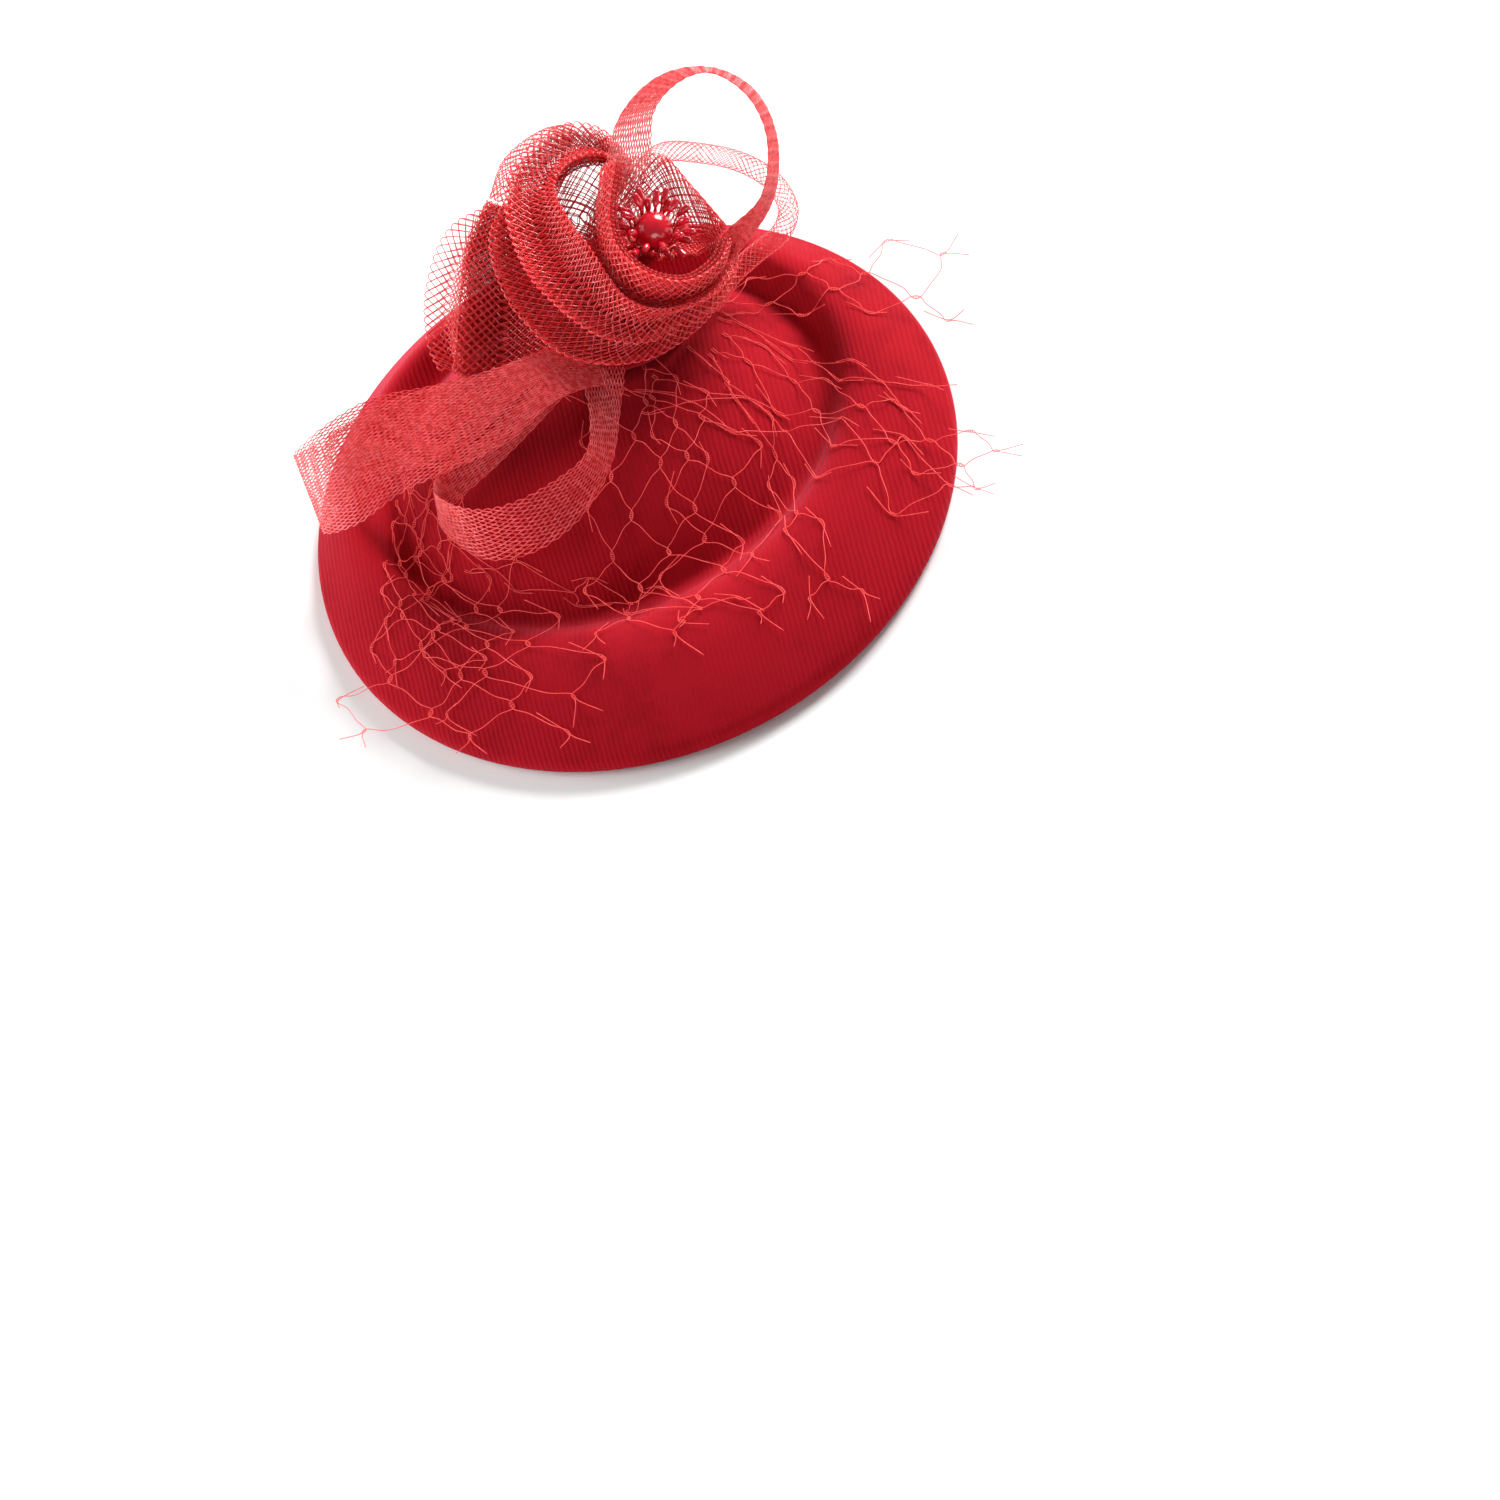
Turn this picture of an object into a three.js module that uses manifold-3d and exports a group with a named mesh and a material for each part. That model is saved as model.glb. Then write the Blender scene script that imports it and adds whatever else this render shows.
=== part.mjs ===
// A felt percher fascinator: an oval crown in a round sloping brim, dressed with a crin rose, braid
// loops, stamens and a net veil, and held in the hair by two sprung clips sewn inside the crown.
// Millimetres, +Z up out of the crown. The origin is the centre of the brim edge, at its lowest level.
import * as THREE from "three";
import { mergeVertices } from "three/addons/utils/BufferGeometryUtils.js";
import Module from "manifold-3d";

const wasm = await Module();
wasm.setup();

const { clamp, degToRad, lerp, smoothstep } = THREE.MathUtils;

// ---- Driving dimensions -------------------------------------------------------------------------

const GAP = 0.3; // between pieces that lie on each other
const SEAT = 0.9; // between the facetted crown and a piece laid on it

// The base. Radii are those of the round pattern, which is then laid out oval over the crown.
const BRIM_RADIUS = 100;
const GROOVE_RADIUS = 69;
const CROWN_OVAL = 0.903; // depth of the crown over its width
const CROWN_SET = new THREE.Vector2(-1.5, 15.3); // how far the crown sits off the centre of the brim
const FELT = 1.2;
const CORE = 0.8;
const LINING = 0.6;
const CORE_EDGE_RADIUS = 98.2;
const HEM_INNER_RADIUS = 91;
const LINING_EDGE_RADIUS = 90.4;
const EDGE_TURN = [[99.3, 0], [100, 2], [99.7, 4]]; // the felt turned round the brim's edge
const BASE_SIDES = 32;

// Radius and height of the top of the base: domed crown, valley round it, rounded lip, sloping brim.
const TOP_PROFILE = [
  [0, 36], [15, 35.3], [30, 32.4], [45, 26.3], [56, 19], [63, 12.8], [67, 9.6], [69, 8.8],
  [71.5, 9.8], [74, 12.6], [76.5, 15], [79.5, 16], [84, 15.2], [90, 11.8], [95, 8.2], [98.6, 5.4],
];

// The trim is sewn to one spot behind the middle of the crown, given in the round pattern.
const HEART = new THREE.Vector2(19.5, 18.5);
const DISC_RADIUS = 21;
const DISC = 1.5;
const STEM_RADIUS = 3.2; // the bound stem that the rose is wound on
const CRIN = 0.8; // a tubular crin strip lying flat
const BRAID = 0.9;
const TUBE_LOOP = 6.4; // across the thin round crin loop

const BEAD_RADIUS = 5.7;
const BEAD_CENTRE = new THREE.Vector3(39, 37, 59.5);
const CUP_AXIS = new THREE.Vector3(0.25, -0.35, 0.9).normalize(); // the way the rose faces
const HUB_RADIUS = 2.6;
const HUB = 2;
const STAMEN_COUNT = 22;
const STAMEN_WIRE = 0.35; // radius
const STAMEN_TIP = 0.95; // radius
const STAMEN_TIP_LENGTH = 4.2;

const NET = 0.5;
const NET_SHOULDER = 56; // pattern radius at which the net leaves the crown and spans the valley
const NET_RADIUS = 128; // reach of its longest cut ends
const NET_FRONT_RADIUS = 95; // reach over the front of the brim
const NET_END_HEIGHT = 10.5;

// The clips, each with its pin along X and its tip towards -Y.
const CLIP_SPACING = 48;
const CLIP_PIN_Y = 23;
const CLIP_TOP = 26;
const CLIP_WIDTH = 8;
const CLIP_FRONT = 30; // pin to tip
const CLIP_TAIL = 14; // pin to thumb end
const CLIP_SHEET = 0.8;
const PIN_RADIUS = 0.75;
const PIN_DROP = 3.2; // pin below the top of the clip
const PIN_PLAY = 0.06;
const PIN_HEAD_RADIUS = 1.3;
const PIN_HEAD = 0.7;
const EAR_RADIUS = 2;
const JAW_EAR_RADIUS = 1.9;
const JAW_TOP = -CLIP_SHEET - GAP; // the moving jaw lies flat on the fixed one from the tip to its bend
const JAW_BEND = -6;
const JAW_LOW = -6.4; // under the pin
const JAW_PLAY = 0.25; // each side, between the ears
const THUMB_LOW = -9.4;
const SPRING_WIRE = 0.5;
const SPRING_RADIUS = 1.35;
const SPRING_TURNS = 3;
const SPRING_LENGTH = 3;
const SPRING_LEG = 9;

// ---- Colours ------------------------------------------------------------------------------------

function cloth(color, roughness) {
  return new THREE.MeshStandardMaterial({ color, roughness, metalness: 0 });
}
const felt = cloth(0xb01428, 0.95);
const buckram = cloth(0xe6dcc8, 0.9);
const satin = cloth(0x9c1224, 0.6);
const crin = cloth(0xe0303c, 0.4);
const braid = cloth(0xe04450, 0.5);
const thread = cloth(0xc01828, 0.8);
const pearl = new THREE.MeshStandardMaterial({ color: 0x9a0a1c, roughness: 0.15, metalness: 0 });
const steel = new THREE.MeshStandardMaterial({ color: 0xc8c8cc, roughness: 0.25, metalness: 1 });

// ---- Solids -------------------------------------------------------------------------------------

const part = new THREE.Group();

function add(name, geometry, material, parent = part) {
  const mesh = new THREE.Mesh(geometry, material);
  mesh.name = name;
  parent.add(mesh);
  return mesh;
}

// The geometry with shared corners merged, so that a closed form is closed by its index too.
function welded(geometry) {
  const bare = new THREE.BufferGeometry();
  bare.setAttribute("position", geometry.getAttribute("position"));
  if (geometry.index) bare.setIndex(geometry.index);
  return mergeVertices(bare, 1e-4);
}

function solid(geometry) {
  const g = welded(geometry);
  return new wasm.Manifold(
    new wasm.Mesh({
      numProp: 3,
      vertProperties: g.attributes.position.array,
      triVerts: new Uint32Array(g.index.array),
    }),
  );
}

function geometryOf(manifold) {
  const mesh = manifold.getMesh();
  const g = new THREE.BufferGeometry();
  g.setAttribute("position", new THREE.BufferAttribute(mesh.vertProperties, 3));
  g.setIndex(new THREE.BufferAttribute(mesh.triVerts, 1));
  g.computeVertexNormals();
  return g;
}

function joined(...geometries) {
  return geometryOf(geometries.map(solid).reduce((all, next) => all.add(next)));
}

// A round solid about Z from [radius, height] pairs that go from the foot to the head.
function turned(pairs, sides) {
  const profile = pairs.map(([r, z]) => new THREE.Vector2(r, z));
  return new THREE.LatheGeometry(profile, sides).rotateX(Math.PI / 2);
}

function circle(radius, sides) {
  const shape = new THREE.Shape();
  for (let i = 0; i < sides; i++) {
    const a = (2 * Math.PI * i) / sides;
    shape[i ? "lineTo" : "moveTo"](radius * Math.cos(a), radius * Math.sin(a));
  }
  shape.closePath();
  return shape;
}

function wire(points, radius, sides, steps) {
  const path = new THREE.CatmullRomCurve3(points, false, "centripetal");
  const options = { extrudePath: path, steps, bevelEnabled: false };
  return new THREE.ExtrudeGeometry(circle(radius, sides), options);
}

// A closed sheet of even thickness on a grid of points, grid[i][j], crowned along its middle.
function sheet(grid, thickness) {
  const rows = grid.length;
  const columns = grid[0].length;
  const position = [];
  for (const side of [0.5, -0.5]) {
    for (let i = 0; i < rows; i++) {
      for (let j = 0; j < columns; j++) {
        const along = grid[Math.min(i + 1, rows - 1)][j].clone().sub(grid[Math.max(i - 1, 0)][j]);
        const across = grid[i][Math.min(j + 1, columns - 1)].clone();
        const normal = along.cross(across.sub(grid[i][Math.max(j - 1, 0)])).normalize();
        position.push(...grid[i][j].clone().addScaledVector(normal, side * thickness).toArray());
      }
    }
  }
  const index = [];
  const at = (side, i, j) => (side * rows + i) * columns + j;
  const quad = (a, b, c, d) => index.push(a, b, c, a, c, d);
  for (let i = 0; i < rows - 1; i++) {
    for (let j = 0; j < columns - 1; j++) {
      quad(at(0, i, j), at(0, i + 1, j), at(0, i + 1, j + 1), at(0, i, j + 1));
      quad(at(1, i, j), at(1, i, j + 1), at(1, i + 1, j + 1), at(1, i + 1, j));
    }
    quad(at(0, i, 0), at(1, i, 0), at(1, i + 1, 0), at(0, i + 1, 0));
    const last = columns - 1;
    quad(at(0, i, last), at(0, i + 1, last), at(1, i + 1, last), at(1, i, last));
  }
  for (let j = 0; j < columns - 1; j++) {
    quad(at(0, 0, j), at(0, 0, j + 1), at(1, 0, j + 1), at(1, 0, j));
    const last = rows - 1;
    quad(at(0, last, j), at(1, last, j), at(1, last, j + 1), at(0, last, j + 1));
  }
  const g = new THREE.BufferGeometry();
  g.setAttribute("position", new THREE.Float32BufferAttribute(position, 3));
  g.setIndex(index);
  g.computeVertexNormals();
  return g;
}

// A strip between two edges, given as pairs of points across it, swelling by crown along its middle.
function strip(stations, crown, thickness, rows, columns) {
  const edge = (side) =>
    new THREE.CatmullRomCurve3(
      stations.map((s) => new THREE.Vector3(...s[side])),
      false,
      "centripetal",
    );
  const [outer, inner] = [edge(0), edge(1)];
  const grid = [];
  for (let i = 0; i <= rows; i++) {
    const t = i / rows;
    const [a, b] = [outer.getPoint(t), inner.getPoint(t)];
    const swell = outer
      .getTangent(t)
      .add(inner.getTangent(t))
      .cross(b.clone().sub(a))
      .normalize();
    grid.push(
      Array.from({ length: columns + 1 }, (_, j) =>
        a.clone().lerp(b, j / columns).addScaledVector(swell, -crown * Math.sin((Math.PI * j) / columns)),
      ),
    );
  }
  return sheet(grid, thickness);
}

// ---- The base -----------------------------------------------------------------------------------

// Moves a point of the round pattern to its place: oval and set back over the crown, round at the edge.
function lay(x, y, z) {
  const outward = clamp((Math.hypot(x, y) - GROOVE_RADIUS) / (BRIM_RADIUS - GROOVE_RADIUS), 0, 1);
  const toEdge = (outward + smoothstep(outward, 0, 1)) / 2;
  const set = CROWN_SET.clone().multiplyScalar(1 - toEdge);
  return new THREE.Vector3(x + set.x, y * lerp(CROWN_OVAL, 1, toEdge) + set.y, z);
}

function laid(geometry) {
  const p = geometry.attributes.position;
  for (let i = 0; i < p.count; i++) {
    const at = lay(p.getX(i), p.getY(i), p.getZ(i));
    p.setXYZ(i, at.x, at.y, at.z);
  }
  return geometry;
}

// The top profile moved down its own normals by depth, out to edgeRadius.
function under(depth, edgeRadius) {
  const pairs = [];
  TOP_PROFILE.forEach(([r, z], i) => {
    const [r0, z0] = TOP_PROFILE[Math.max(i - 1, 0)];
    const [r1, z1] = TOP_PROFILE[Math.min(i + 1, TOP_PROFILE.length - 1)];
    const length = Math.hypot(r1 - r0, z1 - z0);
    const at = [i ? r + (depth * (z1 - z0)) / length : 0, z - (depth * (i ? r1 - r0 : length)) / length];
    if (at[0] < edgeRadius - 1) pairs.push(at);
  });
  const [[ra, za], [rb, zb]] = pairs.slice(-2);
  pairs.push([edgeRadius, zb + ((zb - za) * (edgeRadius - rb)) / (rb - ra)]);
  return pairs;
}

// The stretch of a profile beyond radius, starting exactly there.
function beyond(radius, pairs) {
  const i = pairs.findIndex(([r]) => r > radius);
  const [[r0, z0], [r1, z1]] = [pairs[i - 1], pairs[i]];
  return [[radius, lerp(z0, z1, (radius - r0) / (r1 - r0))], ...pairs.slice(i)];
}

function shell(depth, thickness, edgeRadius) {
  const upper = under(depth, edgeRadius);
  const lower = under(depth + thickness, edgeRadius);
  return laid(turned([...lower, ...upper.reverse()], BASE_SIDES));
}

const hemDepth = FELT + GAP + CORE + GAP;

// The felt is turned round the core's edge and ends in a hem against the core's underside.
function feltCover() {
  const hem = beyond(HEM_INNER_RADIUS, under(hemDepth, CORE_EDGE_RADIUS + GAP));
  const hemUnderside = beyond(HEM_INNER_RADIUS, under(hemDepth + FELT, CORE_EDGE_RADIUS));
  return laid(
    turned(
      [
        ...under(FELT, CORE_EDGE_RADIUS + GAP),
        ...hem.reverse(),
        ...hemUnderside,
        ...EDGE_TURN,
        ...[...TOP_PROFILE].reverse(),
      ],
      BASE_SIDES,
    ),
  );
}

add("felt_cover", feltCover(), felt);
add("buckram_core", shell(FELT + GAP, CORE, CORE_EDGE_RADIUS), buckram);
add("lining", shell(hemDepth, LINING, LINING_EDGE_RADIUS), satin);

// ---- The trim: what it is sewn to ----------------------------------------------------------------

function topHeight(radius) {
  const i = Math.max(1, TOP_PROFILE.findIndex(([r]) => r >= radius));
  const [[r0, z0], [r1, z1]] = [TOP_PROFILE[i - 1], TOP_PROFILE[i]];
  return lerp(z0, z1, (radius - r0) / (r1 - r0));
}

// The disc that every stem is sewn to follows the dome of the crown.
function trimDisc() {
  const rings = [0, DISC_RADIUS / 3, (2 * DISC_RADIUS) / 3, DISC_RADIUS];
  const above = [...rings].reverse().map((r) => [r, SEAT + DISC]);
  const below = rings.map((r) => [r, SEAT]);
  const disc = turned([...below, ...above], 24).translate(HEART.x, HEART.y, 0);
  const p = disc.attributes.position;
  for (let i = 0; i < p.count; i++) {
    p.setZ(i, p.getZ(i) + topHeight(Math.hypot(p.getX(i), p.getY(i))));
  }
  return laid(disc);
}

const heartFoot = lay(HEART.x, HEART.y, topHeight(HEART.length()) + SEAT + DISC);
const hubFoot = BEAD_CENTRE.clone().addScaledVector(CUP_AXIS, -(BEAD_RADIUS + GAP + HUB));

function boundStem() {
  const foot = heartFoot.clone().add(new THREE.Vector3(0, 0, 1.2));
  const head = hubFoot.clone().addScaledVector(CUP_AXIS, -GAP);
  const aboveFoot = foot.clone().add(new THREE.Vector3(1.5, 1.5, 6));
  const belowHead = head.clone().addScaledVector(CUP_AXIS, -6);
  return wire([foot, aboveFoot, belowHead, head], STEM_RADIUS, 10, 12);
}

add("trim_disc", trimDisc(), felt);
add("bound_stem", boundStem(), thread);

// ---- The trim: bead and stamens ------------------------------------------------------------------

const facing = new THREE.Quaternion().setFromUnitVectors(new THREE.Vector3(0, 0, 1), CUP_AXIS);

function stamen(turn, reach, rise) {
  const out = new THREE.Vector3(Math.cos(turn), Math.sin(turn), 0);
  const root = out.clone().multiplyScalar(HUB_RADIUS - 0.8).setZ(-BEAD_RADIUS - GAP - HUB / 2);
  const bend = out.clone().multiplyScalar(0.75 * reach).setZ(-BEAD_RADIUS);
  const tip = out.clone().multiplyScalar(reach).setZ(rise);
  const stalk = wire([root, bend, tip], STAMEN_WIRE, 4, 2);
  const drop = turned(
    [
      [0, -0.6],
      [STAMEN_WIRE, 0],
      [STAMEN_TIP, 0.6 * STAMEN_TIP_LENGTH],
      [0.75 * STAMEN_TIP, 0.85 * STAMEN_TIP_LENGTH],
      [0, STAMEN_TIP_LENGTH],
    ],
    5,
  );
  const along = tip.clone().sub(bend).normalize();
  drop.applyQuaternion(new THREE.Quaternion().setFromUnitVectors(new THREE.Vector3(0, 0, 1), along));
  drop.translate(...tip.toArray());
  return [stalk, drop];
}

function stamenBunch() {
  const hub = new THREE.CylinderGeometry(HUB_RADIUS, HUB_RADIUS, HUB, 12)
    .rotateX(Math.PI / 2)
    .translate(0, 0, -BEAD_RADIUS - GAP - HUB / 2);
  const all = [hub];
  for (let i = 0; i < STAMEN_COUNT; i++) {
    const turn = (2 * Math.PI * i) / STAMEN_COUNT;
    all.push(...stamen(turn, 8 + Math.sin(2.4 * i), -1.5 + Math.cos(3.7 * i)));
  }
  return joined(...all);
}

const heart = new THREE.Group();
heart.position.copy(BEAD_CENTRE);
heart.quaternion.copy(facing);
part.add(heart);
add("centre_bead", new THREE.SphereGeometry(BEAD_RADIUS, 16, 10), pearl, heart);
add("stamens", stamenBunch(), pearl, heart);

// ---- The trim: the crin rose ---------------------------------------------------------------------

// Each strip lies between an outer and an inner edge, given as pairs of points across the strip.
const PETALS = {
  petal_outer: {
    crown: 4,
    stations: [
      [[5, 75, 61], [16, 70, 62]], [[-5, 66, 59], [15, 57, 60]], [[-9, 48, 56], [16, 40, 59]],
      [[-7, 32, 52], [19, 29, 56]], [[-1, 18, 49], [23, 20, 53]], [[9, 10, 46], [27, 14, 51]],
      [[21, 8, 42], [34, 13, 48]], [[36, 13, 38], [42, 18, 45]], [[49, 22, 36], [54, 25, 43]],
      [[59, 30, 38], [61, 31, 44]],
    ],
  },
  petal_second: {
    crown: 4,
    stations: [
      [[43, 67, 56], [37, 62, 55]], [[40, 79, 63], [38, 70, 60]], [[32, 86, 66], [33, 72, 64]],
      [[21, 84, 68], [26, 71, 66]], [[10, 77, 69], [20, 66, 67]], [[3, 66, 68], [18, 59, 68]],
      [[0, 53, 65], [18, 50, 67]], [[0, 39, 62], [20, 36, 66]], [[4, 26, 58], [21, 25, 63]],
      [[10, 15, 54], [23, 16, 61]], [[20, 8, 50], [29, 10, 58]], [[34, 9, 46], [38, 9, 54]],
      [[46, 13, 44], [48, 12, 51]], [[56, 19, 45], [57, 18, 51]],
    ],
  },
  petal_cup: {
    crown: 1,
    stations: [
      [[38, 54, 76], [33, 61, 66]], [[29, 39, 72], [24, 46, 58]], [[27, 28, 69], [22, 31, 55]],
      [[32, 17, 65], [27, 20, 52]], [[41, 13, 60], [38, 16, 49]], [[52, 17, 57], [48, 21, 47]],
      [[58, 25, 55], [54, 31, 47]],
    ],
  },
  petal_fan: {
    crown: -4,
    stations: [
      [[21, 76, 57], [20, 52, 45]], [[32, 77, 56], [24, 49, 43]], [[43, 74, 54], [29, 47, 42]],
      [[52, 71, 52], [35, 45, 41]], [[56, 60, 46], [41, 43, 40]], [[60, 45, 39], [48, 41, 38]],
    ],
  },
  petal_side: {
    crown: 3,
    stations: [
      [[-1, 79, 59], [6, 73, 57]], [[-12, 72, 55], [-3, 60, 50]], [[-22, 57, 48], [-8, 49, 43]],
      [[-33, 39, 41], [-9, 35, 39]],
    ],
  },
  petal_left: {
    crown: 4,
    stations: [
      [[0, 82, 54], [0, 72, 52]], [[-16, 83, 51], [-12, 70, 50]], [[-31, 72, 41], [-22, 61, 44]],
      [[-37, 59, 33], [-29, 51, 37]], [[-37, 51, 31], [-28, 45, 34]],
    ],
  },
  petal_back: {
    crown: 3,
    stations: [
      [[0, 88, 50], [5, 81, 48]], [[9, 94, 56], [15, 85, 53]], [[23, 97, 57], [24, 87, 54]],
      [[32, 96, 55], [32, 86, 51]],
    ],
  },
};

for (const [name, { crown, stations }] of Object.entries(PETALS)) {
  add(name, strip(stations, crown, CRIN, 2 * (stations.length - 1), 4), crin);
}

// The thin crin tube rises behind the rose, swings out over the brim and comes back under its edge.
const TUBE_ROUTE = [
  [24, 42, 35], [28, 52, 34], [36, 66, 39], [51, 75, 48], [64, 71, 44], [74, 63, 40],
  [79, 55, 36], [79, 45, 33], [74, 41, 30], [65, 39, 29], [55, 36, 28], [46, 29, 29], [40, 27, 34],
];
const tubeRoute = TUBE_ROUTE.map((p) => new THREE.Vector3(...p));
add("crin_tube_loop", wire(tubeRoute, TUBE_LOOP / 2, 8, 30), crin);

// ---- The trim: the braid loops -------------------------------------------------------------------

const LOOPS = {
  braid_loop_tall: [
    [[7, 42, 37], [14, 46, 37]], [[19, 53, 51], [30, 52, 51]], [[33, 62, 64], [46, 55, 65]],
    [[45, 73, 72], [55, 62, 79]], [[61, 79, 74], [65, 64, 83]], [[76, 77, 70], [74, 62, 83]],
    [[85, 68, 63], [81, 54, 76]], [[85, 54, 55], [81, 44, 67]], [[76, 41, 45], [72, 33, 57]],
    [[63, 36, 38], [59, 34, 49]], [[52, 34, 34], [51, 36, 41]],
  ],
  braid_loop_left: [
    [[6, 28, 47], [8, 22, 46]], [[-4, 24, 48], [0, 14, 44]], [[-12, 23, 50], [-8, 6, 46]],
    [[-26, 23, 53], [-27, 2, 43]], [[-40, 29, 50], [-46, 3, 42]], [[-56, 33, 49], [-62, 7, 38]],
    [[-74, 34, 46], [-78, 7, 34]], [[-87, 40, 38], [-89, 18, 25]], [[-79, 49, 33], [-80, 27, 20]],
    [[-60, 49, 36], [-63, 25, 26]], [[-39, 43, 35], [-42, 16, 33]], [[-16, 35, 38], [-16, 21, 39]],
    [[0, 32, 40], [1, 25, 39]],
  ],
  braid_loop_low: [
    [[16, 20, 41], [8, 24, 42]], [[14, 11, 41], [2, 17, 43]], [[7, -2, 39], [-2, 0, 41]],
    [[-3, -16, 34], [-8, -12, 40]], [[-17, -25, 30], [-20, -16, 40]], [[-34, -25, 25], [-35, -17, 41]],
    [[-49, -16, 22], [-46, -11, 40]], [[-56, 2, 25], [-53, 4, 37]], [[-47, 2, 30], [-46, 13, 36]],
    [[-33, 3, 35], [-34, 12, 39]], [[-11, 9, 40], [-13, 17, 43]], [[-1, 14, 41], [-3, 20, 43]],
  ],
};

for (const [name, stations] of Object.entries(LOOPS)) {
  add(name, strip(stations, 0, BRAID, 30, 2), braid);
}

// ---- The trim: the net veil ----------------------------------------------------------------------

// The net follows the crown to its shoulder, then spans the valley and stands out over the brim.
function netHeight(radius) {
  if (radius < NET_SHOULDER) return topHeight(radius) + SEAT + NET / 2;
  const start = topHeight(NET_SHOULDER) + SEAT + NET / 2;
  return lerp(start, NET_END_HEIGHT, (radius - NET_SHOULDER) / (NET_RADIUS - NET_SHOULDER));
}

// A fan of net from the edge of the disc to the curve reach(angle), in the round pattern.
function netFan(fromDegrees, toDegrees, reach, rows, columns) {
  const grid = [];
  for (let i = 0; i <= rows; i++) {
    const share = i / rows;
    const angle = degToRad(lerp(fromDegrees, toDegrees, share));
    const end = new THREE.Vector2(Math.cos(angle), Math.sin(angle)).multiplyScalar(reach(share));
    const start = end.clone().sub(HEART).setLength(DISC_RADIUS + 1).add(HEART);
    grid.push(
      Array.from({ length: columns + 1 }, (_, j) => {
        const at = start.clone().lerp(end, j / columns);
        return lay(at.x, at.y, netHeight(at.length()));
      }),
    );
  }
  return sheet(grid, NET);
}

const frontReach = (share) => lerp(NET_FRONT_RADIUS, NET_RADIUS, Math.abs(2 * share - 1) ** 2);
add("veil_front", netFan(186, 330, frontReach, 16, 10), thread);
add("veil_side", netFan(-14, 28, () => NET_RADIUS, 5, 10), thread);

// ---- The clips -----------------------------------------------------------------------------------

// A plate or strip from its shape in the clip's side view, where x is Y and y is Z.
function sideways(shape, width, across = 0) {
  return new THREE.ExtrudeGeometry(shape, { depth: width, bevelEnabled: false, curveSegments: 8 })
    .translate(0, 0, across - width / 2)
    .rotateY(Math.PI / 2)
    .rotateX(Math.PI / 2);
}

function outlined(pairs) {
  return new THREE.Shape(pairs.map((p) => new THREE.Vector2(...p)));
}

// An ear from a straight foot to a round end about the pin, with the pin's hole in it.
function ear(foot, radius) {
  const shape = new THREE.Shape();
  shape.moveTo(-radius, foot);
  shape.lineTo(-radius, -PIN_DROP);
  shape.absarc(0, -PIN_DROP, radius, Math.PI, foot > -PIN_DROP ? 2 * Math.PI : 0, foot < -PIN_DROP);
  shape.lineTo(radius, foot);
  shape.closePath();
  shape.holes.push(new THREE.Path().absarc(0, -PIN_DROP, PIN_RADIUS + PIN_PLAY, 0, 2 * Math.PI));
  return shape;
}

function fixedJaw() {
  const plate = outlined([
    [-CLIP_FRONT, -CLIP_SHEET], [CLIP_TAIL, -CLIP_SHEET], [CLIP_TAIL, 0], [-CLIP_FRONT, 0],
  ]);
  const outline = ear(-CLIP_SHEET / 2, EAR_RADIUS);
  const side = (CLIP_WIDTH - CLIP_SHEET) / 2;
  return joined(
    sideways(plate, CLIP_WIDTH),
    sideways(outline, CLIP_SHEET, side),
    sideways(outline, CLIP_SHEET, -side),
  );
}

function movingJaw() {
  const width = CLIP_WIDTH - 2 * (CLIP_SHEET + JAW_PLAY);
  const bent = outlined([
    [-CLIP_FRONT, JAW_TOP], [-CLIP_FRONT, JAW_TOP - CLIP_SHEET], [JAW_BEND, JAW_TOP - CLIP_SHEET],
    [-2.5, JAW_LOW], [1, JAW_LOW], [CLIP_TAIL, THUMB_LOW], [CLIP_TAIL, THUMB_LOW + CLIP_SHEET],
    [1, JAW_LOW + CLIP_SHEET], [-2.2, JAW_LOW + CLIP_SHEET], [JAW_BEND + 0.5, JAW_TOP],
  ]);
  const outline = ear(JAW_LOW + CLIP_SHEET / 2, JAW_EAR_RADIUS);
  const side = (width - CLIP_SHEET) / 2;
  return joined(
    sideways(bent, width),
    sideways(outline, CLIP_SHEET, side),
    sideways(outline, CLIP_SHEET, -side),
  );
}

function hingePin() {
  const half = CLIP_WIDTH / 2 + GAP;
  const end = half + PIN_HEAD;
  return turned(
    [
      [0, -end], [PIN_HEAD_RADIUS, -end], [PIN_HEAD_RADIUS, -half], [PIN_RADIUS, -half],
      [PIN_RADIUS, half], [PIN_HEAD_RADIUS, half], [PIN_HEAD_RADIUS, end], [0, end],
    ],
    16,
  )
    .rotateY(Math.PI / 2)
    .translate(0, 0, -PIN_DROP);
}

// The spring winds round the pin, with one leg up under the fixed jaw and one down on the thumb end.
function torsionSpring() {
  const half = SPRING_LENGTH / 2;
  const points = [new THREE.Vector3(-half, SPRING_LEG, -CLIP_SHEET - GAP - SPRING_WIRE / 2)];
  const steps = 8 * SPRING_TURNS;
  for (let i = 0; i <= steps; i++) {
    const turn = Math.PI / 2 - (2 * Math.PI * (i + 4) * SPRING_TURNS) / (steps + 4);
    const up = SPRING_RADIUS * Math.sin(turn) - PIN_DROP;
    points.push(new THREE.Vector3(lerp(-half, half, i / steps), SPRING_RADIUS * Math.cos(turn), up));
  }
  points.push(new THREE.Vector3(half, SPRING_LEG + 1, THUMB_LOW + 3 * CLIP_SHEET));
  return wire(points, SPRING_WIRE / 2, 5, 48);
}

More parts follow.
